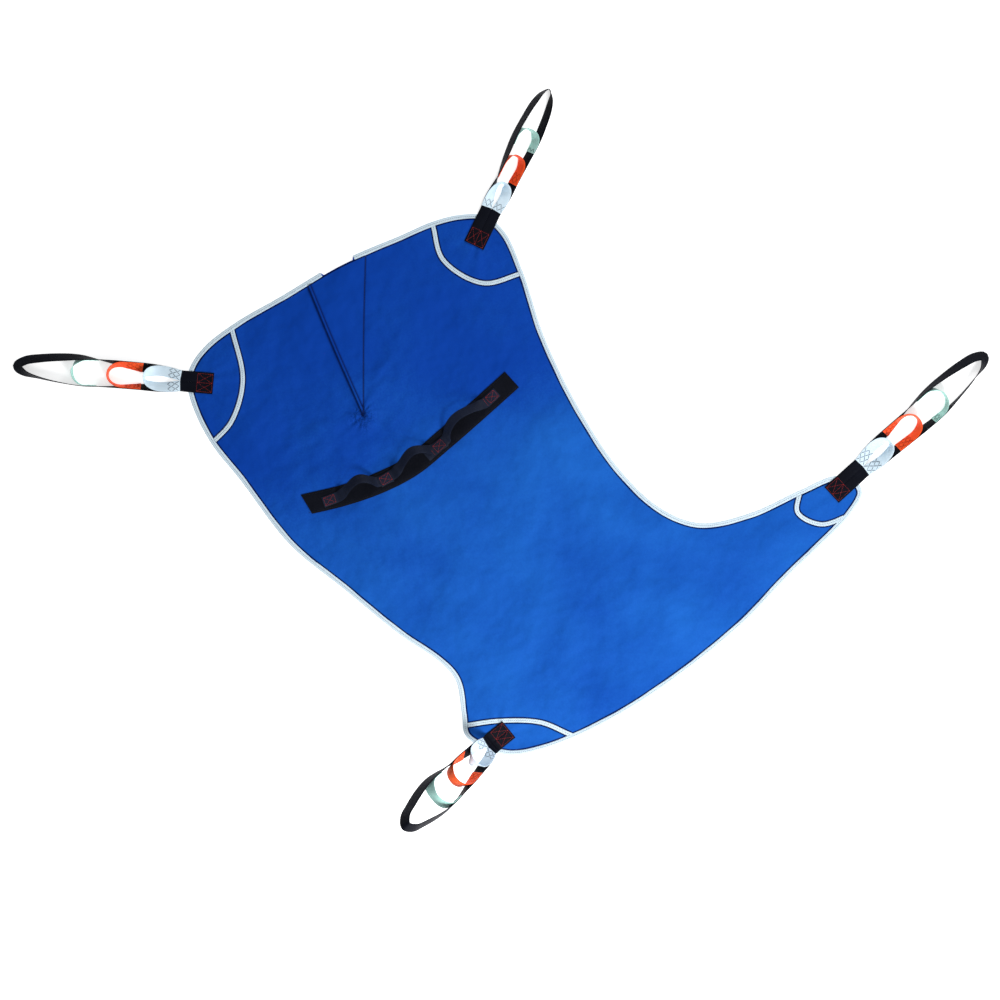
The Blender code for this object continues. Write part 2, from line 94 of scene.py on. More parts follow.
def curve_through(points, closed=False, steps=24):
    """Points along a smooth curve through the given 2D points."""
    points = [Vector(p) for p in points]
    if closed:
        points = points[-1:] + points + points[:2]
    else:
        points = [2 * points[0] - points[1]] + points + [2 * points[-1] - points[-2]]
    curve = []
    for a, b, c, d in zip(points, points[1:], points[2:], points[3:]):
        ta = math.sqrt((b - a).length)
        tb = math.sqrt((c - b).length)
        tc = math.sqrt((d - c).length)
        start = (b - a) / ta - (c - a) / (ta + tb) + (c - b) / tb
        end = (c - b) / tb - (d - b) / (tb + tc) + (d - c) / tc
        for k in range(steps):
            t = k / steps
            curve.append(
                (2 * t**3 - 3 * t**2 + 1) * b + (t**3 - 2 * t**2 + t) * tb * start
                + (3 * t**2 - 2 * t**3) * c + (t**3 - t**2) * tb * end)
    if not closed:
        curve.append(points[-2])
    return curve


def evenly(path, spacing):
    """The path sampled again at close to the given spacing."""
    points = np.array([tuple(p) for p in path])
    along = np.concatenate([[0], np.cumsum(np.linalg.norm(np.diff(points, axis=0), axis=1))])
    where = np.linspace(0, along[-1], max(2, round(along[-1] / spacing)) + 1)
    columns = [np.interp(where, along, points[:, k]) for k in range(points.shape[1])]
    return [Vector(row) for row in np.column_stack(columns).tolist()]


def beside(path, distance, closed=False):
    """The 2D path moved to its left by the distance."""
    moved = []
    last = len(path) - 1
    for k, here in enumerate(path):
        before = path[k - 1] if k or closed else 2 * here - path[1]
        after = path[(k + 1) % len(path)] if k < last or closed else 2 * here - path[k - 1]
        across = (after - before).orthogonal().normalized()
        moved.append(here + across * distance)
    return moved


def inside(points, ring):
    """True for each of the 2D points that lies inside the ring."""
    ring = np.array([tuple(p) for p in ring])
    a, b = ring, np.roll(ring, -1, axis=0)
    found = np.zeros(len(points), bool)
    for first in range(0, len(points), 2000):
        p = points[first:first + 2000]
        above = (a[None, :, 1] > p[:, None, 1]) != (b[None, :, 1] > p[:, None, 1])
        rise_by = b[:, 1] - a[:, 1]
        slope = (b[:, 0] - a[:, 0]) / np.where(rise_by == 0, 1, rise_by)
        cross = p[:, None, 0] < a[None, :, 0] + (p[:, None, 1] - a[None, :, 1]) * slope[None, :]
        found[first:first + 2000] = (above & cross).sum(1) % 2 == 1
    return found


def distance_to(points, line, closed=False):
    """Distance from each 2D point to the line, more than 0 to its left."""
    line = np.array([tuple(p) for p in line])
    a = line if closed else line[:-1]
    b = np.roll(line, -1, axis=0) if closed else line[1:]
    ab = b - a
    found = np.zeros(len(points))
    for first in range(0, len(points), 2000):
        ap = points[first:first + 2000, None, :] - a[None]
        t = np.clip((ap * ab[None]).sum(2) / (ab**2).sum(1)[None], 0, 1)
        off = ap - t[:, :, None] * ab[None]
        length = np.linalg.norm(off, axis=2)
        nearest = length.argmin(1)
        rows = np.arange(len(nearest))
        side = ab[nearest, 0] * ap[rows, nearest, 1] - ab[nearest, 1] * ap[rows, nearest, 0]
        found[first:first + 2000] = length[rows, nearest] * np.where(side < 0, -1, 1)
    return found


def smooth(t):
    t = np.clip(t, 0, 1)
    return t * t * (3 - 2 * t)


edge = evenly(curve_through(in_metres(OUTLINE), closed=True), 0.005)
edge_coarse = evenly(edge + edge[:1], 0.020)[:-1]      # good enough for the swells
edge_finer = evenly(edge + edge[:1], 0.010)[:-1]       # and this one for the sewn lines

# The curved inner edge of each patch, in millimetres like the outline.
PATCH_ARCS = {
    "left_shoulder": [(-535, 537), (-572, 415), (-644, 341), (-711, 318)],
    "right_shoulder": [(7, 520), (-12, 434), (44, 339), (140, 314)],
    "left_leg": [(-509, -568), (-433, -597), (-346, -649), (-298, -709)],
    "right_leg": [(467, -467), (438, -508), (473, -560), (545, -575)],
}
patch_lines = {
    corner: evenly(curve_through(in_metres(arc)), 0.004) for corner, arc in PATCH_ARCS.items()}
strap_roots = [Vector(joints[corner + "_strap_swing"]["pos_m"]) for corner in PATCH_ARCS]

SWELL = 0.0048               # how far the middle of the panel eases up
SWELL_MARGIN = 0.10          # the swells die away over this far from the edge
SWELL_LENGTHS = (0.62, 0.47, 0.36, 0.29, 0.23, 0.18, 0.14, 0.11)
ROOT_CREASE = 0.0017         # creases that spread from each strap's root
ROOT_CREASE_REACH = 0.11
TIP_GATHER = 0.0012          # small gathers close round the pleat's point
TIP_GATHER_REACH = 0.024
TIP_RIPPLE = 0.0016          # and longer ripples further out
TIP_RIPPLE_REACH = 0.080
TIP_DIMPLE = 0.0024          # the point itself is drawn down
TIP_DIMPLE_REACH = 0.008
SOFT_FOLDS = 11              # creases left by folding, spread round the pleat's point
swell_random = random.Random(11)
swells = []
for wavelength in SWELL_LENGTHS:
    heading = swell_random.uniform(0, math.pi)
    phase = swell_random.uniform(0, 2 * math.pi)
    turns = 2 * math.pi / wavelength
    swells.append((turns * math.cos(heading), turns * math.sin(heading), phase, wavelength**0.9))
soft_folds = []
for _ in range(SOFT_FOLDS):
    heading = swell_random.uniform(0, 2 * math.pi)
    ray = Vector((math.cos(heading), math.sin(heading)))
    start = DART_TIP + ray * swell_random.uniform(0.05, 0.20)
    veer = ray.orthogonal() * swell_random.uniform(-0.4, 0.4)
    end = start + (ray + veer) * swell_random.uniform(0.06, 0.16)
    fold_height = swell_random.uniform(-0.0010, 0.0020)
    soft_folds.append((start, end, fold_height, swell_random.uniform(0.007, 0.016)))


def polar(points, centre):
    """Distance and bearing of each 2D point from a place."""
    off = points - np.array(centre)
    return np.linalg.norm(off, axis=1), np.arctan2(off[:, 1], off[:, 0])


def bell(distance, wide):
    return np.exp(-(distance / wide)**2)


def rise(points):
    """How far the cloth eases up from flat at each 2D point. It is 0 at the edge and outside it."""
    inset = distance_to(points, edge_coarse, closed=True)
    room = smooth(inset / SWELL_MARGIN)
    total = np.zeros(len(points))
    for along_x, along_y, phase, size in swells:
        total += size * np.sin(points[:, 0] * along_x + points[:, 1] * along_y + phase)
    weight = sum(swell[3] for swell in swells)
    height = SWELL * (0.55 + 0.9 * total / weight)
    for root in strap_roots:
        reach, turn = polar(points, root[:2])
        ray = np.sin(turn * 11) * 0.6 + np.sin(turn * 17 + 1) * 0.4
        height += ROOT_CREASE * ray * smooth(reach / 0.05) * bell(reach, ROOT_CREASE_REACH)
    reach, turn = polar(points, DART_TIP)
    ray = np.sin(turn * 3 + 0.6) * 0.5 + np.sin(turn * 5 + 2.1 + 30 * reach) * np.cos(turn + 1.0) * 0.9
    ray += np.sin(turn * 11 + 4.0 + 60 * reach) * np.sin(turn * 2 + 0.4) * 0.5
    height += TIP_GATHER * ray * smooth(reach / 0.012) * bell(reach, TIP_GATHER_REACH)
    height += TIP_RIPPLE * ray * smooth(reach / 0.03) * bell(reach, TIP_RIPPLE_REACH)
    for start, end, size, wide in soft_folds:
        height += size * bell(distance_to(points, [start, start.lerp(end, 0.5), end]), wide)
    height -= TIP_DIMPLE * bell(reach, TIP_DIMPLE_REACH)
    return np.maximum(0, height) * room


def settle(obj):
    """Lifts a piece that lies on the cloth by what the cloth rises there."""
    count = len(obj.data.vertices)
    places = np.empty(count * 3)
    obj.data.vertices.foreach_get("co", places)
    places = places.reshape(-1, 3)
    places[:, 2] += rise(places[:, :2])
    obj.data.vertices.foreach_set("co", places.ravel())
    obj.data.update()
    return obj


def in_scene(name, data):
    """A new object on the data, in the scene."""
    obj = bpy.data.objects.new(name, data)
    bpy.context.scene.collection.objects.link(obj)
    return obj


def add_piece(name, verts, faces, finish):
    """One smooth mesh in the scene, at the origin."""
    mesh = bpy.data.meshes.new(name)
    mesh.from_pydata(verts, [], faces)
    mesh.shade_smooth()
    mesh.materials.append(finish)
    return in_scene(name, mesh)


def new_finish(name):
    """A material with its Principled shader, and its tree."""
    finish = bpy.data.materials.new(name)
    finish.use_nodes = True
    return finish, finish.node_tree, finish.node_tree.nodes["Principled BSDF"]


def object_place(tree):
    return tree.nodes.new("ShaderNodeTexCoord").outputs["Object"]


def split(tree, place):
    """The X, Y and Z of a place."""
    node = tree.nodes.new("ShaderNodeSeparateXYZ")
    tree.links.new(place, node.inputs[0])
    return node.outputs


def attribute_of(tree, name):
    """The piece's own attribute of that name, as a number."""
    node = tree.nodes.new("ShaderNodeAttribute")
    node.attribute_name = name
    return node.outputs["Fac"]


def set_inputs(node, **values):
    """Sets a node's inputs by their names, with _ for a space."""
    for label, value in values.items():
        node.inputs[label.replace("_", " ")].default_value = value


def maths(tree, operation, first, second=None, third=None, clamp=False):
    """A Math node on sockets or numbers."""
    node = tree.nodes.new("ShaderNodeMath")
    node.operation = operation
    node.use_clamp = clamp
    for socket, value in zip(node.inputs, (first, second, third)):
        if isinstance(value, bpy.types.NodeSocket):
            tree.links.new(value, socket)
        elif value is not None:
            socket.default_value = value
    return node.outputs[0]


def varied(tree, base, mask, amount, middle=0.5, clamp=False):
    """The base, moved by what the mask is above or below its middle."""
    return maths(tree, "MULTIPLY_ADD", maths(tree, "SUBTRACT", mask, middle), amount, base, clamp=clamp)


def turns_along(tree, distance, pitch, turn=math.pi):
    """The angle that a wave of the pitch has reached at a distance."""
    return maths(tree, "MULTIPLY", maths(tree, "DIVIDE", distance, pitch), turn)


def mixed(tree, share, first, second):
    """A colour between two, by a socket's share."""
    node = tree.nodes.new("ShaderNodeMix")
    node.data_type = "RGBA"
    tree.links.new(share, node.inputs[0])
    for socket, value in zip(node.inputs[6:8], (first, second)):
        if isinstance(value, bpy.types.NodeSocket):
            tree.links.new(value, socket)
        else:
            socket.default_value = (*value, 1)
    return node.outputs[2]


def noise(tree, place, scale, detail=2.0, roughness=0.5):
    node = tree.nodes.new("ShaderNodeTexNoise")
    tree.links.new(place, node.inputs["Vector"])
    set_inputs(node, Scale=scale, Detail=detail, Roughness=roughness)
    return node.outputs["Fac"]


def bumped(tree, shader, height, distance, strength=1.0, under=None):
    """Feeds the shader's normal from a height, over an earlier bump if there is one."""
    node = tree.nodes.new("ShaderNodeBump")
    set_inputs(node, Distance=distance, Strength=strength)
    tree.links.new(height, node.inputs["Height"])
    if under:
        tree.links.new(under, node.inputs["Normal"])
    tree.links.new(node.outputs["Normal"], shader.inputs["Normal"])
    return node.outputs["Normal"]


def new_group(name, inputs, outputs):
    """An empty shader node group with float or vector inputs and float outputs."""
    group = bpy.data.node_groups.new(name, "ShaderNodeTree")
    for label, kind in inputs:
        group.interface.new_socket(label, in_out="INPUT", socket_type=kind)
    for label in outputs:
        group.interface.new_socket(label, in_out="OUTPUT", socket_type="NodeSocketFloat")
    return group, group.nodes.new("NodeGroupInput"), group.nodes.new("NodeGroupOutput")


def placed(tree, group, place, **values):
    """The group as a node in a material, fed with a place and its own values."""
    node = tree.nodes.new("ShaderNodeGroup")
    node.node_tree = group
    tree.links.new(place, node.inputs["Place"])
    set_inputs(node, **values)
    return node.outputs


# Plain weave: warp and weft threads that cross over and under each other.
weave, weave_in, weave_out = new_group(
    "plain weave",
    [("Place", "NodeSocketVector"), ("Warp Pitch", "NodeSocketFloat"), ("Weft Pitch", "NodeSocketFloat")],
    ["Height", "Over"])
axes = split(weave, weave_in.outputs["Place"])
warp_wave = maths(weave, "SINE", turns_along(weave, axes[0], weave_in.outputs["Warp Pitch"]))
weft_wave = maths(weave, "SINE", turns_along(weave, axes[1], weave_in.outputs["Weft Pitch"]))
over = maths(weave, "MULTIPLY_ADD", maths(weave, "MULTIPLY", warp_wave, weft_wave), 1.6, 0.5, clamp=True)
under = maths(weave, "SUBTRACT", 1.0, over)
warp_thread = maths(weave, "MULTIPLY", maths(weave, "ABSOLUTE", warp_wave), over)
weft_thread = maths(weave, "MULTIPLY", maths(weave, "ABSOLUTE", weft_wave), under)
weave.links.new(maths(weave, "ADD", warp_thread, weft_thread), weave_out.inputs["Height"])
weave.links.new(over, weave_out.inputs["Over"])

CLOTH_DEEP = (0.0016, 0.043, 0.325)
CLOTH_LIGHT = (0.0092, 0.110, 0.475)
PAINTED_LIGHT_FROM = 0.14             # painted light: the cloth is painted paler from here towards the foot
PAINTED_LIGHT_REACH = 0.27
CLOTH_PAINTED_SHADE = (0.0004, 0.004, 0.050)
CLOTH_THREAD = 0.0011        # pitch of the weave
SHADE_LINE_INSET = LIP + 0.0016    # painted shade: a navy line along the binding's inner edge, where shade falls beside it
SHADE_LINE_HALF = 0.0030
ARC_SHADE_INSET = 0.0064           # and painted shade along each side of a patch tape

cloth_finish, tree, shader = new_finish("royal blue woven cloth")
coords = object_place(tree)
woven = placed(tree, weave, coords, Warp_Pitch=CLOTH_THREAD, Weft_Pitch=CLOTH_THREAD)
mottle = noise(tree, coords, 3.2, 3.0, 0.55)
slub = noise(tree, coords, 210.0, 2.0)
# Painted light: the cloth's colour moves towards its pale end from the back to the foot, standing in for the
# stronger light there; the mottle, weave and slub on top are the cloth's own tone.
below_painted_light = maths(tree, "SUBTRACT", PAINTED_LIGHT_FROM, split(tree, coords)[1])
painted_foot_light = maths(tree, "DIVIDE", below_painted_light, PAINTED_LIGHT_REACH, clamp=True)
painted_foot_light = maths(tree, "SMOOTH_MIN", painted_foot_light, 0.70, 0.3)
share = varied(tree, painted_foot_light, mottle, 1.5)
share = varied(tree, share, woven["Over"], 0.22)
share = varied(tree, share, slub, 0.45, clamp=True)
colour = mixed(tree, share, CLOTH_DEEP, CLOTH_LIGHT)
# Painted shade: navy lines on the cloth beside the binding and beside each patch tape, where shade falls next
# to the raised layers.
seams = []
for attribute, line_at in (("inset", SHADE_LINE_INSET), ("arc", ARC_SHADE_INSET)):
    off_line = maths(tree, "SUBTRACT", maths(tree, "ABSOLUTE", attribute_of(tree, attribute)), line_at)
    off_share = maths(tree, "DIVIDE", maths(tree, "ABSOLUTE", off_line), SHADE_LINE_HALF)
    seams.append(maths(tree, "SUBTRACT", 1.0, off_share, clamp=True))
seam = maths(tree, "MULTIPLY", maths(tree, "MAXIMUM", *seams), 1.3, clamp=True)
# Painted shade in the pleat's folds and at its point, carried by a per-point attribute.
dark = maths(tree, "MAXIMUM", seam, maths(tree, "MULTIPLY", attribute_of(tree, "crease_shade"), 0.9, clamp=True))
tree.links.new(mixed(tree, dark, colour, CLOTH_PAINTED_SHADE), shader.inputs["Base Color"])
crumple = bumped(tree, shader, noise(tree, coords, 7.0, 3.0, 0.5), 0.028, 0.9)
gathered = maths(tree, "MULTIPLY", noise(tree, coords, 75.0, 4.0, 0.6), attribute_of(tree, "pucker"))
crumple = bumped(tree, shader, gathered, 0.020, 1.0, crumple)
bumped(tree, shader, woven["Height"], 0.00022, 0.5, crumple)
tree.links.new(maths(tree, "MULTIPLY_ADD", woven["Height"], 0.12, 0.60), shader.inputs["Roughness"])
set_inputs(shader, Specular_IOR_Level=0.05, Sheen_Weight=0.05, Sheen_Roughness=0.45,
           Sheen_Tint=(0.12, 0.55, 1.0, 1))


def grid_inside(ring, spacing, near=None, reach=0.0):
    """Points of a hexagonal grid inside the ring, all of them or only those near a place or line."""
    corners = np.array([tuple(p) for p in ring])
    low, high = corners.min(0), corners.max(0)
    rows = np.arange(low[1], high[1], spacing * math.sqrt(3) / 2)
    columns = np.arange(low[0], high[0], spacing)
    grid = np.array([(x + (k % 2) * spacing / 2, y) for k, y in enumerate(rows) for x in columns])
    if near is not None:
        grid = grid[np.abs(distance_to(grid, near)) < reach]
    grid = grid[inside(grid, ring)]
    return grid[np.abs(distance_to(grid, ring, closed=True)) > spacing * 0.45]


DART_LEFT = in_metres([(-326, 543), (-346, 366), (-361, 201)])
DART_RIGHT = in_metres([(-165, 541), (-255, 388), (-357, 206)])
ROLL = 0.0075                # width of the rolled fold along the pleat's left line
CREASE_SHADE_WIDTHS = (0.0026, 0.0021, 0.0019)     # painted shade lines along both sides of the roll, then along the right one
TIP_SHADE = 0.0055
PUCKER_REACH = 0.026         # fine gathers, just below the pleat's point
PUCKER_OFFSET = (-0.004, -0.010)
left_dart = evenly(curve_through(DART_LEFT), 0.012)
right_dart = evenly(curve_through(DART_RIGHT), 0.012)


def painted_crease_shade(plan):
    """How much painted shade darkens the pleat's folds and its point at each 2D point, 0 to 1."""
    from_left = distance_to(plan, left_dart)
    from_right = distance_to(plan, right_dart)
    to_tip = polar(plan, DART_TIP)[0]
    dark = bell(from_left + 0.0006, CREASE_SHADE_WIDTHS[0])
    dark += bell(from_left - ROLL, CREASE_SHADE_WIDTHS[1]) * smooth(to_tip / 0.02)
    dark += bell(from_right, CREASE_SHADE_WIDTHS[2])
    return np.minimum(1, dark + bell(to_tip, TIP_SHADE))


def cloth_piece(name, ring, grid, bottom, top, finish):
    """A closed sheet of cloth inside the ring. bottom and top give its faces' heights over the 2D points.
    Returns the piece, those points and its cut area."""
    flat = [tuple(p) for p in ring] + [tuple(p) for p in grid]
    count = len(ring)
    border = [(k, (k + 1) % count) for k in range(count)]
    points, _, faces = delaunay_2d_cdt([Vector(p) for p in flat], border, [], 1, 1e-7, False)[:3]
    plan = np.array([tuple(p) for p in points])
    triangles = np.array(faces)
    triangles = triangles[inside(plan[triangles].mean(1), ring)]
    a, b, c = (plan[triangles[:, k]] for k in range(3))
    area = (b[:, 0] - a[:, 0]) * (c[:, 1] - a[:, 1]) - (b[:, 1] - a[:, 1]) * (c[:, 0] - a[:, 0])
    triangles = np.where(area[:, None] < 0, triangles[:, ::-1], triangles)
    lift = rise(plan)
    upper = np.column_stack([plan, top(plan) + lift])
    lower = np.column_stack([plan, bottom(plan) + lift])
    size = len(plan)
    edges = np.concatenate([triangles[:, [0, 1]], triangles[:, [1, 2]], triangles[:, [2, 0]]])
    rim = edges[~np.isin(edges[:, 0] * size + edges[:, 1], edges[:, 1] * size + edges[:, 0])]
    walls = np.column_stack([rim[:, 1], rim[:, 0], rim[:, 0] + size, rim[:, 1] + size])
    skin = triangles.tolist() + (triangles[:, ::-1] + size).tolist() + walls.tolist()
    obj = add_piece(name, np.concatenate([upper, lower]).tolist(), skin, finish)
    obj.data.validate()
    both = np.concatenate([plan, plan])
    marks = {
        "inset": distance_to(both, edge_finer, closed=True),
        "arc": np.min([np.abs(distance_to(both, line)) for line in patch_lines.values()], axis=0),
        "crease_shade": painted_crease_shade(both),
        "pucker": bell(polar(both, DART_TIP + Vector(PUCKER_OFFSET))[0], PUCKER_REACH),
    }
    for label, values in marks.items():
        layer = obj.data.attributes.new(label, "FLOAT", "POINT")
        layer.data.foreach_set("value", values.astype(np.float32))
    return obj, plan, abs(area).sum() / 2


def cut_at(ring, height):
    """The ring's points above and below a height, and the two places where it crosses it, left first."""
    above, below, crossings = [], [], []
    for here, after in zip(ring, ring[1:] + ring[:1]):
        (above if here.y > height else below).append(here)
        if (here.y > height) != (after.y > height):
            crossing = here.lerp(after, (height - here.y) / (after.y - here.y))
            crossings.append(Vector((crossing.x, height)))
    return above, below, sorted(crossings, key=lambda p: p.x)


def from_largest_gap(points):
    """The points in their order, started after the longest step between two of them."""
    steps = [(b - a).length for a, b in zip(points, points[1:] + points[:1])]
    first = steps.index(max(steps)) + 1
    return points[first:] + points[:first]


def in_gap(point):
    return GAP_LEFT < point.x < GAP_RIGHT and point.y > HEAD_EDGE_FROM


hem = beside(edge, BINDING + LAYER_GAP, closed=True)
cut_back = beside(edge, GAP_INSET, closed=True)
cloth_ring = [back if in_gap(here) else here for here, back in zip(hem, cut_back)]
above, below, (left_end, right_end) = cut_at(cloth_ring, SPLIT_Y)
above, below = from_largest_gap(above), from_largest_gap(below)
seam_line = evenly([left_end, right_end], CLOTH_GRID)
upper_ring = above + seam_line
lower_ring = below + seam_line[::-1]
TIP_REACH = 0.055            # the coarse grid stops this far from the pleat's point
TIP_FINE_REACH = 0.053       # and the fine one round it ends here
DART_REACH = 0.012           # the same from the pleat's two lines
DART_FINE_REACH = 0.0105
TIP_CLEAR = 0.0545           # the fine grid along the lines starts this far from the point


def away_from(grid, line, reach):
    """The grid's points that are further from the line than the reach."""
    return grid[np.abs(distance_to(grid, line)) > reach]


def level(height):
    return lambda plan: np.full(len(plan), height)


def joined_normals(obj, plan):
    """Gives the cloth the same normals on both sides of the line where its two pieces meet."""
    step = 0.0005
    slope_x = (rise(plan + [step, 0]) - rise(plan - [step, 0])) / (2 * step)
    slope_y = (rise(plan + [0, step]) - rise(plan - [0, step])) / (2 * step)
    normals = np.column_stack([-slope_x, -slope_y, np.ones(len(plan))])
    normals /= np.linalg.norm(normals, axis=1)[:, None]
    obj.data.normals_split_custom_set_from_vertices(np.concatenate([normals, -normals]).tolist())


for name, ring, sheet_size, replaced, bodies in (
        ("upper_panel", upper_ring, (0.862, 0.612), ("head_panel", "back_panel"), ("back", "head")),
        ("lower_panel", lower_ring, (1.250, 0.668), ("leg_panel",), ("back", "leg"))):
    grid = grid_inside(ring, CLOTH_GRID)
    if name == "upper_panel":
        tip = [DART_TIP - Vector((0.001, 0)), DART_TIP + Vector((0.001, 0))]
        darts = [left_dart, right_dart]
        for line in darts:
            grid = away_from(grid, line, DART_REACH)
        grid = away_from(grid, tip, TIP_REACH)
        grid = np.concatenate([grid, grid_inside(ring, FINE_GRID, tip, TIP_FINE_REACH)])
        for line in darts:
            beside_line = away_from(grid_inside(ring, FINE_GRID, line, DART_FINE_REACH), tip, TIP_CLEAR)
            for other in darts[:darts.index(line)]:
                beside_line = away_from(beside_line, other, DART_REACH)
            grid = np.concatenate([grid, beside_line])
    cloth, plan, cut_area = cloth_piece(
        name, ring, grid, level(CLOTH_BOTTOM), level(CLOTH_TOP), cloth_finish)
    joined_normals(cloth, plan)
    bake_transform(cloth)
    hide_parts(*replaced)

# ---- Binding -------------------------------------------------------------------------------------
# Ice-blue polyester twill tape, folded round the raw edge and sewn down with a row of stitches near
# its lip and one along its middle. It stops short of the head pleat, and runs over both fold lines.

BINDING_TOP = ON_CLOTH + BINDING
TAPE_PALE = (0.72, 0.84, 0.91)
TAPE_LINE = (0.20, 0.31, 0.42)
TWILL_PITCH = 0.0040
STITCH_FROM_LIP = 0.0022
MIDDLE_ROW = 0.55            # share of the lip's width where the second row runs
BINDING_THREAD_LIFT = 0.0002
EDGE_PITCH = 0.0046          # length of one stitch with its gap
THREAD = 0.00042             # radius of the thread in a strap or the strip
TAPE_THREAD = 0.00055        # and of the tapes' coarser one
BINDING_STEP = 0.0045
BINDING_WAVES = ((0.035, 31), (0.02, 83))    # the sewn edge wanders by these shares of the lip

twill, twill_in, twill_out = new_group(
    "twill lines", [("Place", "NodeSocketVector"), ("Pitch", "NodeSocketFloat")], ["Height", "Line"])
axes = split(twill, twill_in.outputs["Place"])
slant = maths(twill, "MULTIPLY_ADD", axes[1], 1.35, axes[0])
turn = turns_along(twill, slant, twill_in.outputs["Pitch"], 2 * math.pi)
wave = maths(twill, "MULTIPLY_ADD", maths(twill, "SINE", turn), 0.5, 0.5)
twill.links.new(wave, twill_out.inputs["Height"])
twill.links.new(maths(twill, "POWER", wave, 2.5), twill_out.inputs["Line"])


def run_place(tree):
    """The place along and across a band or tape, from its run map."""
    node = tree.nodes.new("ShaderNodeUVMap")
    node.uv_map = "run"
    return node.outputs["UV"]


tape_finish, tree, shader = new_finish("ice blue twill tape")
run = run_place(tree)
lines = placed(tree, twill, run, Pitch=TWILL_PITCH)
fine = placed(tree, weave, run, Warp_Pitch=0.0006, Weft_Pitch=0.0009)
worn = varied(tree, lines["Line"], noise(tree, object_place(tree), 9.0, 3.0), 0.5)
line_share = maths(tree, "MULTIPLY", worn, 0.7, clamp=True)
tree.links.new(mixed(tree, line_share, TAPE_PALE, TAPE_LINE), shader.inputs["Base Color"])
ridge = bumped(tree, shader, lines["Height"], 0.0005, 0.5)
bumped(tree, shader, fine["Height"], 0.00015, 0.5, ridge)
tree.links.new(maths(tree, "MULTIPLY_ADD", lines["Height"], 0.15, 0.58), shader.inputs["Roughness"])
set_inputs(shader, Specular_IOR_Level=0.25, Sheen_Weight=0.12, Sheen_Roughness=0.4)


def swept_piece(name, sections, runs, widths, finish):
    """A closed skin over a row of equal sections. Its run map holds metres along it and across it, and
    widths has the place across for each point of a section."""
    around = len(sections[0])
    verts = [tuple(point) for section in sections for point in section]
    faces = []
    for low in range(0, len(verts) - around, around):
        for k in range(around):
            j = (k + 1) % around
            faces.append((low + k, low + j, low + around + j, low + around + k))
    faces.append(tuple(range(around))[::-1])
    faces.append(tuple(range(len(verts) - around, len(verts))))
    centre = sum((Vector(p) for p in sections[0]), Vector()) / around
    ahead = sum((Vector(p) for p in sections[1]), Vector()) / around - centre
    turning = sum(((Vector(a) - centre).cross(Vector(b) - centre) for a, b in
                   zip(sections[0], sections[0][1:])), Vector())
    if turning.dot(ahead) < 0:
        faces = [face[::-1] for face in faces]
    corners = [(runs[i // around], widths[i % around]) for face in faces for i in face]
    obj = add_piece(name, verts, faces, finish)
    layer = obj.data.uv_layers.new(name="run")
    layer.data.foreach_set("uv", np.array(corners, np.float32).ravel())
    obj.data.set_sharp_from_angle(angle=math.radians(50))
    return obj


BINDING_PROFILE = [
    (LIP, 0.0), (LIP * 0.5, 0.0), (0.0016, 0.0), (0.0005, 0.0004), (0.0, 0.0013),
    (0.0, BINDING_TOP - 0.0013), (0.0005, BINDING_TOP - 0.0004), (0.0016, BINDING_TOP + 0.0002),
    (LIP * 0.5, BINDING_TOP + 0.0003), (LIP - 0.0006, BINDING_TOP), (LIP, BINDING_TOP - 0.0003),
    (LIP, ON_CLOTH), (LIP * 0.5, ON_CLOTH), (0.0010, ON_CLOTH), (0.0010, BINDING), (LIP, BINDING)]
profile_steps = [0.0]
for (x, z), (next_x, next_z) in zip(BINDING_PROFILE, BINDING_PROFILE[1:]):
    profile_steps.append(profile_steps[-1] + math.hypot(next_x - x, next_z - z))


def run_lengths(path):
    lengths = [0.0]
    for here, after in zip(path, path[1:]):
        lengths.append(lengths[-1] + (after - here).length)
    return lengths


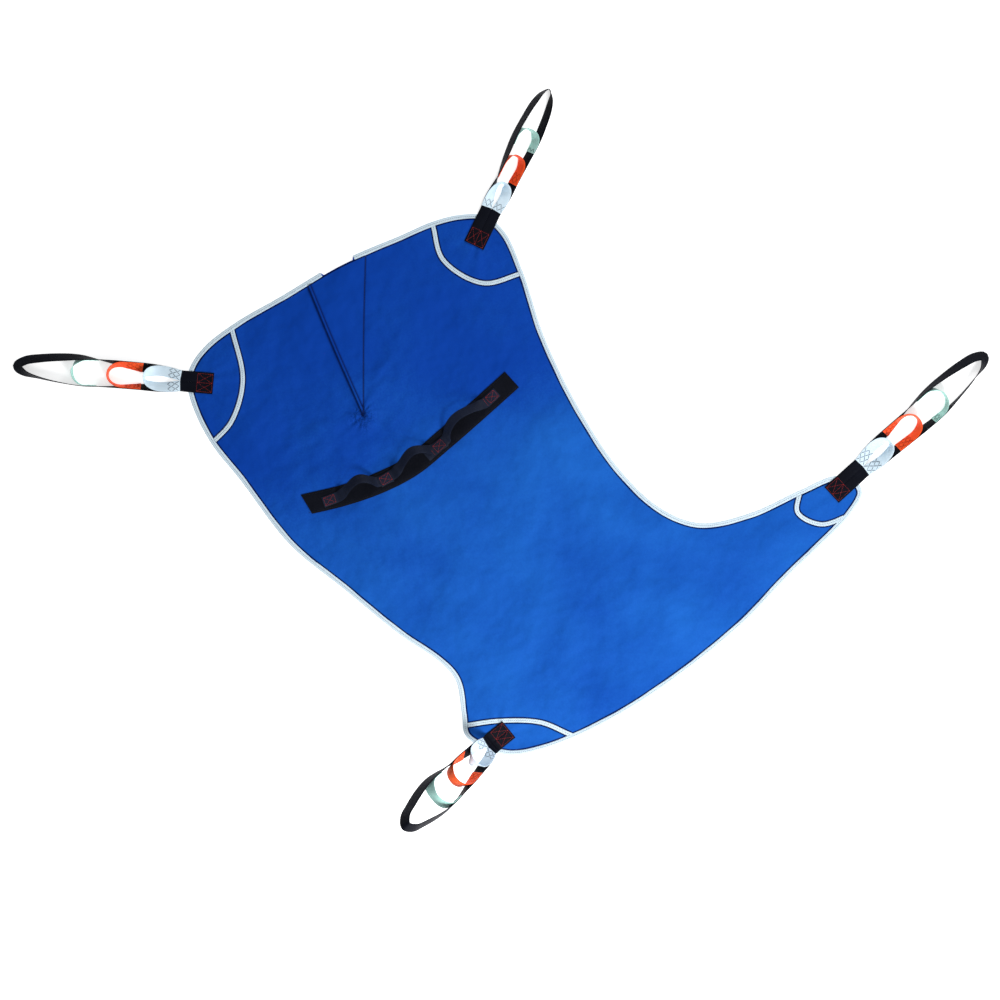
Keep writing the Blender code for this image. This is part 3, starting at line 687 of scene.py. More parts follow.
def stitch_tree():
    """Geometry nodes that lay one stitch on each edge of a row of needle holes."""
    group = bpy.data.node_groups.new("stitch rows", "GeometryNodeTree")
    for label, kind in (("Holes", "NodeSocketGeometry"), ("Thread Radius", "NodeSocketFloat"),
                        ("Fill", "NodeSocketFloat"), ("Thread", "NodeSocketMaterial")):
        group.interface.new_socket(label, in_out="INPUT", socket_type=kind)
    group.interface.new_socket("Stitches", in_out="OUTPUT", socket_type="NodeSocketGeometry")
    add, link = group.nodes.new, group.links.new
    given, result = add("NodeGroupInput"), add("NodeGroupOutput")
    ends = add("GeometryNodeInputMeshEdgeVertices")
    along = add("ShaderNodeVectorMath")
    along.operation = "SUBTRACT"
    link(ends.outputs["Position 2"], along.inputs[0])
    link(ends.outputs["Position 1"], along.inputs[1])
    store = add("GeometryNodeStoreNamedAttribute")
    store.data_type, store.domain = "FLOAT_VECTOR", "EDGE"
    set_inputs(store, Name="stitch")
    link(given.outputs["Holes"], store.inputs["Geometry"])
    link(along.outputs[0], store.inputs["Value"])
    middles = add("GeometryNodeMeshToPoints")
    middles.mode = "EDGES"
    link(store.outputs[0], middles.inputs[0])
    stored = add("GeometryNodeInputNamedAttribute")
    stored.data_type = "FLOAT_VECTOR"
    set_inputs(stored, Name="stitch")
    length = add("ShaderNodeVectorMath")
    length.operation = "LENGTH"
    link(stored.outputs["Attribute"], length.inputs[0])
    half = maths(group, "MULTIPLY", length.outputs["Value"], given.outputs["Fill"])
    size = add("ShaderNodeCombineXYZ")
    link(given.outputs["Thread Radius"], size.inputs[0])
    link(given.outputs["Thread Radius"], size.inputs[1])
    link(half, size.inputs[2])
    turned = add("FunctionNodeAlignRotationToVector")
    turned.axis = "Z"
    link(stored.outputs["Attribute"], turned.inputs["Vector"])
    bead = add("GeometryNodeMeshUVSphere")
    set_inputs(bead, Segments=6, Rings=4)
    laid = add("GeometryNodeInstanceOnPoints")
    link(middles.outputs[0], laid.inputs["Points"])
    link(bead.outputs["Mesh"], laid.inputs["Instance"])
    link(turned.outputs[0], laid.inputs["Rotation"])
    link(size.outputs[0], laid.inputs["Scale"])
    real = add("GeometryNodeRealizeInstances")
    link(laid.outputs[0], real.inputs[0])
    painted = add("GeometryNodeSetMaterial")
    link(real.outputs[0], painted.inputs["Geometry"])
    link(given.outputs["Thread"], painted.inputs["Material"])
    link(painted.outputs[0], result.inputs[0])
    return group


stitch_rows = stitch_tree()


def sewn(name, rows, thread, radius=THREAD, fill=0.46):
    """Stitches along rows of needle holes, as one plain mesh."""
    verts, links = [], []
    for row in rows:
        first = len(verts)
        verts += [tuple(p) for p in row]
        links += [(k, k + 1) for k in range(first, len(verts) - 1)]
    holes = bpy.data.meshes.new(name + "_holes")
    holes.from_pydata(verts, links, [])
    obj = in_scene(name, holes)
    modifier = obj.modifiers.new("stitches", "NODES")
    modifier.node_group = stitch_rows
    sockets = {item.name: item.identifier for item in stitch_rows.interface.items_tree}
    modifier[sockets["Thread Radius"]] = radius
    modifier[sockets["Fill"]] = fill
    modifier[sockets["Thread"]] = thread
    made = obj.evaluated_get(bpy.context.evaluated_depsgraph_get())
    stitches = bpy.data.meshes.new_from_object(made)
    obj.modifiers.remove(modifier)
    obj.data = stitches
    stitches.shade_smooth()
    return obj


def new_thread(name, colour, light, sheen=0.04):
    """Spun polyester thread: two tones twisted round each other."""
    finish, tree, shader = new_finish(name)
    coords = object_place(tree)
    twist = noise(tree, coords, 900.0, 1.0)
    tree.links.new(mixed(tree, twist, colour, light), shader.inputs["Base Color"])
    bumped(tree, shader, noise(tree, coords, 2500.0, 1.0), 0.0001, 0.4)
    set_inputs(shader, Roughness=0.5, Specular_IOR_Level=0.12, Sheen_Weight=sheen)
    return finish


tape_thread = new_thread("tape thread", (0.06, 0.10, 0.16), (0.13, 0.19, 0.26))
edge_thread = new_thread("tape edge thread", (0.50, 0.60, 0.68), (0.62, 0.72, 0.78))

outer_above, outer_below, (outer_left, outer_right) = cut_at(edge, SPLIT_Y)
outer_above, outer_below = from_largest_gap(outer_above), from_largest_gap(outer_below)
after_gap = next(k for k, p in enumerate(outer_above) if p.x <= GAP_LEFT)
runs_of_binding = {
    "upper_left_binding": (
        outer_above[after_gap:] + [outer_left],
        ("head_binding_left", "side_binding_left"), ("back", "head")),
    "upper_right_binding": (
        [outer_right] + [p for p in outer_above[:after_gap] if not in_gap(p)],
        ("head_binding_right", "side_binding_right"), ("back", "head")),
    "lower_binding": ([outer_left] + outer_below + [outer_right], ("leg_binding",), ("back", "leg")),
}
for name, (path, replaced, bodies) in runs_of_binding.items():
    path = evenly(path, BINDING_STEP)
    lengths = run_lengths(path)
    ready = []
    for inset, z in BINDING_PROFILE:
        ease = [inset * (1 + sum(size * math.sin(s * turns) for size, turns in BINDING_WAVES))
                for s in lengths]
        across = [after - here for here, after in zip(beside(path, 0), beside(path, 1))]
        ready.append([(p.x + a.x * e, p.y + a.y * e, z) for p, a, e in zip(path, across, ease)])
    tape = settle(swept_piece(name, list(zip(*ready)), lengths, profile_steps, tape_finish))
    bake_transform(tape)
    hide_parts(*replaced)
    for label, inset, thread in (
            ("edge", LIP - STITCH_FROM_LIP, edge_thread), ("middle", LIP * MIDDLE_ROW, tape_thread)):
        line = evenly(beside(path, inset), EDGE_PITCH)
        holes = [(p.x, p.y, BINDING_TOP + BINDING_THREAD_LIFT) for p in line]
        row = settle(sewn(f"{name}_{label}_stitches", [holes], thread, TAPE_THREAD))
        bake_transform(row)

# ---- Corner patches and their tapes ---------------------------------------------------------------
# A second layer of the same cloth under each strap, its curved inner edge covered with the binding
# tape, laid flat and sewn down along both sides and its middle.

PATCH = 0.0010
TAPE = 0.0007
TAPE_HALF = 0.005
UNDER_LIP = LIP + LAYER_GAP
TAPE_STRIPES = (-1.0, -0.93, -0.5, 0.0, 0.5, 0.93, 1.0)
TAPE_CROWN = (-0.0002, 0.0, 0.0002, 0.0003, 0.0002, 0.0, -0.0002)
TAPE_STATIONS = 60
TAPE_SEAM = 0.68             # share of its half width where a tape's outer rows run
TAPE_THREAD_LIFT = 0.0003
ARC_OVERRUN = 0.03           # each curved line is drawn on this far, then clipped at the lip
PATCH_GRID = 0.0042

lip_ring = beside(edge, UNDER_LIP, closed=True)


def clipped(path, ring):
    """The stretch of the path that lies inside the ring."""
    fine_path = evenly(path, 0.0004)
    keep = inside(np.array([tuple(p) for p in fine_path]), ring)
    return [p for p, within in zip(fine_path, keep) if within]


def between(ring, start, end):
    """The ring's points from near one place to near another, the shorter way round."""
    count = len(ring)
    first = min(range(count), key=lambda k: (ring[k] - start).length)
    last = min(range(count), key=lambda k: (ring[k] - end).length)
    forward = [(first + k) % count for k in range((last - first) % count + 1)]
    backward = [(first - k) % count for k in range((first - last) % count + 1)]
    return [ring[k] for k in min(forward, backward, key=len)][1:-1]


def counterclockwise(ring):
    area = sum(a.x * b.y - a.y * b.x for a, b in zip(ring, ring[1:] + ring[:1]))
    return ring[::-1] if area < 0 else ring


for corner, line in patch_lines.items():
    body = "head" if "shoulder" in corner else "leg"
    reach = [line[0] + (line[0] - line[1]).normalized() * ARC_OVERRUN] + line
    reach.append(line[-1] + (line[-1] - line[-2]).normalized() * ARC_OVERRUN)
    root = Vector(joints[corner + "_strap_swing"]["pos_m"][:2])
    root_side = 1 if distance_to(np.array([tuple(root)]), line)[0] > 0 else -1
    rim = evenly(clipped(beside(reach, root_side * (TAPE_HALF + LAYER_GAP)), lip_ring), 0.004)
    ring = counterclockwise(rim + between(lip_ring, rim[-1], rim[0]))
    patch, plan, cut_area = cloth_piece(
        corner + "_patch_cloth", ring, grid_inside(ring, PATCH_GRID), level(ON_CLOTH),
        level(ON_CLOTH + PATCH), cloth_finish)
    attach(patch, body)
    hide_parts(corner + "_patch")

    stripes = []
    for v in TAPE_STRIPES:
        stripe = clipped(beside(reach, v * TAPE_HALF), lip_ring)
        step = (len(stripe) - 1) / TAPE_STATIONS
        stripes.append([stripe[round(k * step)] for k in range(TAPE_STATIONS + 1)])
    sections = []
    for row in zip(*stripes):
        low = [(p.x, p.y, ON_CLOTH) for p in row]
        high = [(p.x, p.y, ON_CLOTH + TAPE + crown) for p, crown in zip(row, TAPE_CROWN)]
        sections.append(low + high[::-1])
    widths = [v * TAPE_HALF for v in TAPE_STRIPES + TAPE_STRIPES[::-1]]
    middle = stripes[TAPE_STRIPES.index(0.0)]
    tape = settle(swept_piece(corner + "_curved_tape", sections, run_lengths(middle), widths, tape_finish))
    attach(tape, body)
    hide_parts(corner + "_patch_tape")
    for label, sides, thread in (
            ("edge", (TAPE_SEAM, -TAPE_SEAM), edge_thread), ("middle", (0.0,), tape_thread)):
        seams = [evenly(beside(middle, side * TAPE_HALF), EDGE_PITCH) for side in sides]
        holes = [[(p.x, p.y, ON_CLOTH + TAPE + TAPE_THREAD_LIFT) for p in seam] for seam in seams]
        row = settle(sewn(f"{corner}_curved_tape_{label}_stitches", holes, thread, TAPE_THREAD))
        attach(row, body)

# ---- Head pleat ----------------------------------------------------------------------------------
# Panel cloth folded over at the head end to shape the hood. Its left side is a rolled fold, its
# right side is stitched flat, and both run together at a puckered point.

PLEAT = 0.0009
ROLL_HEIGHT = 0.0036
PLEAT_RIM = 0.0002           # thickness at the pleat's flat stitched side
PLEAT_GRID = 0.0019
PLEAT_STITCH = 0.0036
PLEAT_THREAD = 0.0007
PLEAT_THREAD_LIFT = 0.0004

left_line = clipped(evenly(curve_through(DART_LEFT), 0.002), lip_ring)
right_line = clipped(evenly(curve_through(DART_RIGHT), 0.002), lip_ring)
pleat_top = between(lip_ring, right_line[0], left_line[0])
pleat_ring = counterclockwise(
    evenly(left_line, 0.003) + evenly(right_line[::-1], 0.003) + pleat_top)


def pleat_face(plan):
    """Height of the pleat's face: rolled along its left line, thin along its right one."""
    from_left = np.abs(distance_to(plan, left_line[::20] + left_line[-1:]))
    from_right = np.abs(distance_to(plan, right_line[::20] + right_line[-1:]))
    size = smooth(polar(plan, DART_TIP)[0] / 0.03) * 0.75 + 0.25
    roll = np.sqrt(np.clip(1 - ((from_left - ROLL / 2) / (ROLL / 2))**2, 0, 1)) * ROLL_HEIGHT * size
    behind = bell(from_left - ROLL - 0.0008, 0.0012) * 0.0006
    thin = smooth(from_right / 0.0025)
    return ON_CLOTH + PLEAT_RIM + (PLEAT - PLEAT_RIM) * thin + roll - behind


pleat, plan, cut_area = cloth_piece(
    "head_pleat_fold", pleat_ring, grid_inside(pleat_ring, PLEAT_GRID), level(ON_CLOTH), pleat_face,
    cloth_finish)
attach(pleat, "head")
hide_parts("head_pleat")
pleat_thread = new_thread("navy thread", (0.002, 0.008, 0.06), (0.004, 0.02, 0.12))
needle = [(p.x, p.y, ON_CLOTH + PLEAT_THREAD_LIFT) for p in evenly(right_line, PLEAT_STITCH)]
row = settle(sewn("head_pleat_stitches", [needle], pleat_thread, PLEAT_THREAD, 0.52))
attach(row, "head")

# ---- Back strip ----------------------------------------------------------------------------------
# Black polypropylene webbing, two inches wide, sewn flat across the back to carry the handles.

STRIP_LINE = [(-583, 80), (-492, 55), (-403, 40), (-317, 38), (-213, 57), (-107, 80), (-7, 103)]
STRIP_WIDTH = 0.0508
STRIP = 0.0012
STRIP_TOP = ON_CLOTH + STRIP
STRIP_SKEW = 0.008           # its left end is cut at a slant: one corner leads by this
STRIP_SKEW_STATIONS = 9
STRIP_STEP = 0.005
STRIP_SEAM = 0.004           # its stitches run this far inside its edges
BAND_ACROSS = (-1, -0.965, -0.5, 0.0, 0.5, 0.965, 1)
BAND_EDGE = 0.3              # half thickness left at a band's rounded edges, as a share
RIB_PITCH = 0.0016
PICK_PITCH = 0.0022

ribs, ribs_in, ribs_out = new_group(
    "webbing ribs",
    [("Place", "NodeSocketVector"), ("Rib Pitch", "NodeSocketFloat"), ("Pick Pitch", "NodeSocketFloat")],
    ["Height", "Pick"])
axes = split(ribs, ribs_in.outputs["Place"])
rib_wave = maths(ribs, "SINE", turns_along(ribs, axes[1], ribs_in.outputs["Rib Pitch"]))
pick_turn = turns_along(ribs, axes[0], ribs_in.outputs["Pick Pitch"])
stagger = maths(ribs, "MULTIPLY_ADD", maths(ribs, "SIGN", rib_wave), math.pi / 4, pick_turn)
pick_wave = maths(ribs, "ABSOLUTE", maths(ribs, "SINE", stagger))
pick_height = maths(ribs, "MULTIPLY_ADD", pick_wave, 0.6, 0.4)
height = maths(ribs, "MULTIPLY", maths(ribs, "ABSOLUTE", rib_wave), pick_height)
ribs.links.new(height, ribs_out.inputs["Height"])
ribs.links.new(pick_wave, ribs_out.inputs["Pick"])


def new_webbing(name, deep, light, sheen, tint=(1, 1, 1), glint=0.25):
    """Woven webbing: ribs along it, picks across it, and a little fade and lint."""
    finish, tree, shader = new_finish(name)
    woven = placed(tree, ribs, run_place(tree), Rib_Pitch=RIB_PITCH, Pick_Pitch=PICK_PITCH)
    coords = object_place(tree)
    fade = varied(tree, 0.4, noise(tree, coords, 22.0, 3.0), 1.5)
    share = varied(tree, fade, woven["Height"], 0.6, 0.4, clamp=True)
    tree.links.new(mixed(tree, share, deep, light), shader.inputs["Base Color"])
    soft = bumped(tree, shader, noise(tree, coords, 60.0, 3.0), 0.0012, 0.3)
    bumped(tree, shader, woven["Height"], 0.0004, 0.6, soft)
    tree.links.new(maths(tree, "MULTIPLY_ADD", woven["Pick"], -0.12, 0.62), shader.inputs["Roughness"])
    set_inputs(shader, Specular_IOR_Level=glint, Sheen_Weight=sheen, Sheen_Roughness=0.35,
               Sheen_Tint=(*tint, 1))
    return finish


black_webbing = new_webbing(
    "black webbing", (0.0008, 0.0014, 0.0040), (0.0032, 0.0042, 0.0095), sheen=0.035,
    tint=(0.9, 0.86, 1.0), glint=0.07)


def band_piece(name, frames, width, thickness, finish):
    """Webbing along frames of (centre, direction across, direction of its face)."""
    shape = [(v, -BAND_EDGE if abs(v) == 1 else -0.5) for v in BAND_ACROSS]
    shape += [(v, -n) for v, n in shape[::-1]]
    sections = []
    for centre, across, face in frames:
        w, n = across * (width / 2), face * thickness
        sections.append([centre + w * v + n * t for v, t in shape])
    runs = run_lengths([f[0] for f in frames])
    return swept_piece(name, sections, runs, [v * width / 2 for v, _ in shape], finish)


def flat_frames(path, height):
    """Frames of a band that lies flat along a 2D line."""
    frames = []
    for here, left in zip(path, beside(path, 1)):
        frames.append((Vector((here.x, here.y, height)), (left - here).to_3d(), UP))
    return frames


strip_path = evenly(curve_through(in_metres(STRIP_LINE)), STRIP_STEP)
strip_frames = flat_frames(strip_path, ON_CLOTH + STRIP / 2)
for k in range(STRIP_SKEW_STATIONS):
    centre, across, face = strip_frames[k]
    ahead = (strip_frames[k + 1][0] - centre).normalized()
    share = 1 - k / STRIP_SKEW_STATIONS
    strip_frames[k] = (centre, across - ahead * (share * STRIP_SKEW / (STRIP_WIDTH / 2)), face)
strip = settle(band_piece("back_strip_webbing", strip_frames, STRIP_WIDTH, STRIP, black_webbing))
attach(strip, "back")
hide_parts("back_strip")
black_thread = new_thread("black thread", (0.002, 0.003, 0.006), (0.007, 0.009, 0.016), 0.05)
rows = []
for side in (1, -1):
    path = evenly(beside(strip_path, side * (STRIP_WIDTH / 2 - STRIP_SEAM)), STRIP_STEP)
    rows.append([(p.x, p.y, STRIP_TOP + 0.0001) for p in path])
row = settle(sewn("back_strip_stitches", rows, black_thread))
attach(row, "back")

# ---- Handles --------------------------------------------------------------------------------------
# Three grab handles of one-inch black webbing. Each end is sewn to the strip with a red box stitch,
# over the end of the handle before it, and the handle arches up between and leans to the head side.

TACKS = in_metres([(-529, 62), (-387, 41), (-234, 49), (-69, 90)])
HANDLE_WEBBING = 0.0012
WEBBING_WIDTH = 0.0254
TACK_LENGTH = 0.034
TACK_RAMP = 0.018
TACK_LIFT = 0.0095
TACK_HEIGHT = STRIP_TOP + LAYER_GAP + HANDLE_WEBBING / 2
HANDLE_RISE = 0.0185
ARCH_FROM = 0.022            # the arch starts this far from the middle of a tack
HANDLE_SHIFT = 0.022         # how far the middle of a handle lies over to the head side
HANDLE_TILT = math.radians(33)
HANDLE_SKEW = (1.35, 1.35, 0.72)   # above 1 the highest place is nearer the second tack
ARCH_POWER = 1.15            # above 1 the arch is narrower than a sine
TILT_SHARE = 0.2             # the handle has turned to its tilt by this share of its arch
HANDLE_STEP = 0.0035
FREE_END = 0.043             # loose end of the right handle, past its first tack
BOX_LENGTH = 0.026           # the red box stitch on each tack
BOX_WIDTH = 0.019
BOX_STITCH = 0.0040
BOX_FILL = 0.40
BAR_STEPS = (-1, -0.6, -0.2, 0.2, 0.6, 1)
FREE_BAR = (-0.023, 0.0095)  # a bar's distance from its tack, and half its width
LAST_BAR = (-0.021, 0.0105)
THREAD_LIFT = 0.0001         # the thread lies this much above the webbing's face
HANDLES = (("left_handle", "handle_1"), ("middle_handle", "handle_2"), ("right_handle", "handle_3"))

# Painted light: the handles are the same black webbing as the strip, painted lighter for the light they catch
# where they arch up.
painted_lit_handle_webbing = new_webbing(
    "handle webbing painted lighter", (0.0035, 0.0055, 0.0140), (0.0110, 0.0165, 0.0380), sheen=0.08,
    tint=(0.8, 0.9, 1.0), glint=0.12)
red_thread = new_thread("red thread", (0.21, 0.010, 0.013), (0.38, 0.030, 0.032), 0.05)


def handle_frame(first, along, span, distance, layer, skew):
    """Frame of a handle at a distance from its first tack."""
    from_end = min(distance, span - distance)
    lift = TACK_LIFT * float(smooth((abs(from_end) - TACK_LENGTH / 2) / TACK_RAMP))
    share = min(1.0, max(0.0, (distance - ARCH_FROM) / (span - 2 * ARCH_FROM)))**skew
    arch = math.sin(math.pi * share)**ARCH_POWER
    tilt = HANDLE_TILT * float(smooth(min(share, 1 - share) / TILT_SHARE))
    left = along.orthogonal().to_3d()
    over = layer * (1 - float(smooth((distance - TACK_LENGTH / 2) / TACK_RAMP)))
    height = TACK_HEIGHT + lift + over + HANDLE_RISE * arch
    centre = (first + along * distance).to_3d() + UP * height + left * HANDLE_SHIFT * arch
    across = left * math.cos(tilt) - UP * math.sin(tilt)
    return centre, across


def handle_frames(first, second, start, end, layer, skew):
    along, span = (second - first).normalized(), (second - first).length
    steps = max(2, round((end - start) / HANDLE_STEP))
    raw = [handle_frame(first, along, span, start + (end - start) * k / steps, layer, skew)
           for k in range(steps + 1)]
    frames = []
    for k, (centre, across) in enumerate(raw):
        ahead = raw[min(k + 1, steps)][0] - raw[max(k - 1, 0)][0]
        across = (across - ahead * (across.dot(ahead) / ahead.dot(ahead))).normalized()
        face = ahead.cross(across).normalized()
        frames.append((centre, across, face if face.z > 0 else -face))
    return frames


def on_band(frames, u, v, lift):
    """The place on a band's face at a distance along it and across it."""
    lengths = run_lengths([f[0] for f in frames])
    k = min(len(lengths) - 2, max(0, int(np.searchsorted(lengths, u)) - 1))
    share = (u - lengths[k]) / (lengths[k + 1] - lengths[k])
    centre, across, face = frames[k]
    return centre.lerp(frames[k + 1][0], share) + across * v + face * lift


def box_stitch(frames, start, length, width, lift, crosses=1):
    """Rows of a box with a cross in it, on a band from a distance along it."""
    end = start + length
    corners = [(start, -width / 2), (end, -width / 2), (end, width / 2), (start, width / 2)]
    lines = list(zip(corners, corners[1:] + corners[:1]))
    for k in range(crosses):
        low = -width / 2 + width * k / crosses
        high = low + width / crosses
        lines += [((start, low), (end, high)), ((start, high), (end, low))]
        if k:
            lines.append(((start, low), (end, low)))
    rows = []
    for (u0, v0), (u1, v1) in lines:
        steps = max(2, round(math.hypot(u1 - u0, v1 - v0) / BOX_STITCH))
        shares = [k / steps for k in range(steps + 1)]
        rows.append([on_band(frames, u0 + (u1 - u0) * t, v0 + (v1 - v0) * t, lift) for t in shares])
    return rows


handle_rows = []
on_handle = HANDLE_WEBBING / 2 + THREAD_LIFT
for k, (body, node) in enumerate(HANDLES):
    first, second = TACKS[k], TACKS[k + 1]
    along, span = (second - first).normalized(), (second - first).length
    layer = HANDLE_WEBBING + LAYER_GAP if k else 0.0
    last = k == len(HANDLES) - 1
    start = -FREE_END if last else -TACK_LENGTH / 2
    slack = along * (TACK_LENGTH / 2 + TACK_RAMP)
    halves = (
        ("first_half", start, span / 2, along, first + slack, (f"handle_end_{k + 1}", node)),
        ("second_half", span / 2, span + TACK_LENGTH / 2, -along, second - slack,
         (f"handle_end_{k + 2}", node)),
    )
    for half, begin, end, inward, hinge, replaced in halves:
        frames = handle_frames(first, second, begin, end, layer, HANDLE_SKEW[k])
        band = settle(band_piece(f"{body}_{half}", frames, WEBBING_WIDTH, HANDLE_WEBBING, painted_lit_handle_webbing))
        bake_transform(band)
        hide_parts(*replaced)
        if half == "second_half" and not last:
            continue
        bar = FREE_BAR
        tack_at = -begin
        if half == "second_half":
            bar = LAST_BAR
            tack_at = run_lengths([f[0] for f in frames])[-1] - TACK_LENGTH / 2
        handle_rows += box_stitch(frames, tack_at - BOX_LENGTH / 2, BOX_LENGTH, BOX_WIDTH, on_handle)
        if last:
            handle_rows.append([on_band(frames, tack_at + bar[0], v * bar[1], on_handle) for v in BAR_STEPS])
boxes = settle(sewn("handle_box_stitches", handle_rows, red_thread, THREAD, BOX_FILL))
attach(boxes, "back")

# ---- Suspension straps ----------------------------------------------------------------------------
# At each corner both ends of one black webbing loop lie side by side, box-stitched to the patch. Three
# shorter coloured loops are zig-zagged inside it, so that the hoist's hook can take it up shorter.

WEBBING = 0.0016
LOOP_WEBBING = 0.0014
LOOP_GAP = 0.0005
SEWN_LENGTH = 0.042
SETTLE = 0.070               # a strap comes down from the panel to the bed over this much
LOOP_LENGTH = 0.394
LOOP_HALF_WIDTH = 0.034      # half the space between the two legs at their widest
PAD_BOTTOM = ON_CLOTH + PATCH + LAYER_GAP
PAD_TOP = PAD_BOTTOM + WEBBING
LEG_OFFSET = WEBBING_WIDTH / 2 + 0.00004     # the two sewn ends lie side by side, all but touching
STRAIGHT_SHARE = 0.6         # share of a strap's run, before its legs part, that is straight
STATION = 0.0036             # spacing of the frames along a leg
CROWN_STEPS = 18
ROOT_BEND = 0.022            # the webbing bends over this much past its sewn end
STRAP_BOX_MARGIN = 0.003     # the box stitch keeps this far inside the sewn end
ZIG_LANES = 4
ZIG_PITCH = 0.0094
ZIG_SWING = 0.0060
ZIG_LENGTH = 0.046
ZIG_START = 0.002
ZIG_MARGIN = 0.003
ZIG_SPREAD = 0.95            # share of the webbing's width that the lanes take up
ZIG_THREAD = 0.00068
TWIST_SHARES = (0.0, 0.15, 0.3, 0.5, 0.7, 0.86, 1.0)
# pitch and the twists are in degrees. The twists of each leg are those at TWIST_SHARES of its length.
STRAPS = {
    "left_shoulder": dict(
        pitch=0, run=0.036, size=(1.0, 1.0),
        left=(-90, -55, -25, -3, 0, 10, 62), right=(-90, -78, -42, 0, 45, 55, 62)),
    "right_shoulder": dict(
        pitch=0, run=0.052, size=(0.815, 0.78),
        left=(-90, -28, 12, 34, 34, 38, 10), right=(-90, -78, -55, -48, -48, -40, 10)),
    "left_leg": dict(
        pitch=50, run=0.030, size=(0.97, 1.2),
        left=(-90, -48, -30, 0, 12, 18, 24), right=(-90, -48, -25, 15, 30, 30, 24)),
    "right_leg": dict(
        pitch=0, run=0.058, size=(1.0, 1.0),
        left=(-90, -68, -34, 5, 28, 48, 60), right=(-90, -55, -45, -32, -5, 5, 60)),
}
# How a leg bows out: shares of the loop's length, and of its half width there.
LEG_PLAN = [(0.0, 0.0), (0.08, 0.26), (0.25, 0.54), (0.45, 0.84), (0.6, 1.0), (0.73, 0.84), (0.86, 0.5)]
TIP_SHARE = (0.955, 0.42)
# Each coloured loop is sewn to the black one from share sewn to share leaves of its length, and turns
# back at share crown. twist is in degrees.
LOOPS = {
    "blue": dict(sewn=0.0, leaves=0.11, crown=0.223, twist=-4),
    "orange": dict(sewn=0.236, leaves=0.35, crown=0.446, twist=-3),
    "green": dict(sewn=0.505, leaves=0.585, crown=0.664, twist=-2),
}
loop_finishes = {
    "blue": new_webbing("ice blue webbing", (0.54, 0.70, 0.82), (0.70, 0.82, 0.90), sheen=0.1),
    "orange": new_webbing("orange webbing", (0.80, 0.060, 0.006), (0.95, 0.120, 0.016), sheen=0.05),
    "green": new_webbing("sea green webbing", (0.27, 0.56, 0.49), (0.48, 0.74, 0.69), sheen=0.08),
}
loop_threads = {
    "blue": new_thread("grey thread", (0.03, 0.05, 0.08), (0.08, 0.11, 0.15)),
    "orange": new_thread("rust thread", (0.30, 0.016, 0.004), (0.42, 0.03, 0.008)),
    "green": new_thread("slate thread", (0.03, 0.06, 0.07), (0.08, 0.13, 0.14)),
}


def standing_height(twist):
    """Height of a band's middle above the bed, for its lower edge to clear it."""
    lean_room = (WEBBING + LOOP_GAP) * max(0.0, math.sin(twist))
    return WEBBING_WIDTH / 2 * abs(math.cos(twist)) + WEBBING / 2 * abs(math.sin(twist)) + lean_room


def band_frame(before, here, after, inner_side, twist):
    """Frame of a band at a point of its path, turned by its twist."""
    along = (after - before).normalized()
    inward = along.cross(UP).normalized() * inner_side
    across = math.cos(twist) * UP + math.sin(twist) * inward
    across = (across - along * across.dot(along)).normalized()
    face = math.cos(twist) * inward - math.sin(twist) * UP
    face = (face - along * face.dot(along) - across * face.dot(across)).normalized()
    return here, across, face


def lifted(x, run, twist):
    """Height of the band's middle: on the panel along its free run, then down to the bed."""
    down = float(smooth((x - run) / SETTLE))
    on_panel = PAD_BOTTOM + WEBBING / 2 + (standing_height(twist) - standing_height(-math.pi / 2))
    return on_panel * (1 - down) + standing_height(twist) * down - PAD_TOP


def leg_frames(strap, side):
    """Shares, twists and frames along one leg of the black loop, from its sewn end out to the tip."""
    length = LOOP_LENGTH * strap["size"][0]
    half_width = LOOP_HALF_WIDTH * strap["size"][1]
    run = strap["run"]
    plan = [(0.0003, LEG_OFFSET), (run * STRAIGHT_SHARE, LEG_OFFSET)]
    plan += [(run + x * length, LEG_OFFSET + y * (half_width - LEG_OFFSET)) for x, y in LEG_PLAN]
    plan += [(run + TIP_SHARE[0] * length, TIP_SHARE[1] * half_width), (run + length, 0.0)]
    mirrored = plan + [(x, -y) for x, y in plan[-2::-1]]
    whole = curve_through(mirrored)
    whole = whole[:len(whole) // 2 + 1]
    path = evenly([Vector((-SEWN_LENGTH, LEG_OFFSET))] + whole, STATION)
    key_twists = [math.radians(a) for a in strap["left" if side > 0 else "right"]]
    keys = curve_through(list(zip(TWIST_SHARES, key_twists)))
    shares = [max(0.0, (p.x - run) / length) for p in path]
    twists = np.interp(shares, [p.x for p in keys], [p.y for p in keys]).tolist()
    points = [Vector((p.x, side * p.y, lifted(p.x, run, twist))) for p, twist in zip(path, twists)]
    before_first = [2 * points[0] - points[1]]
    past_tip = [Vector((points[-2].x, -points[-2].y, points[-2].z))]
    around = zip(before_first + points, points, points[1:] + past_tip, twists)
    frames = [band_frame(a, b, c, side, twist) for a, b, c, twist in around]
    return list(zip(shares, twists, frames))


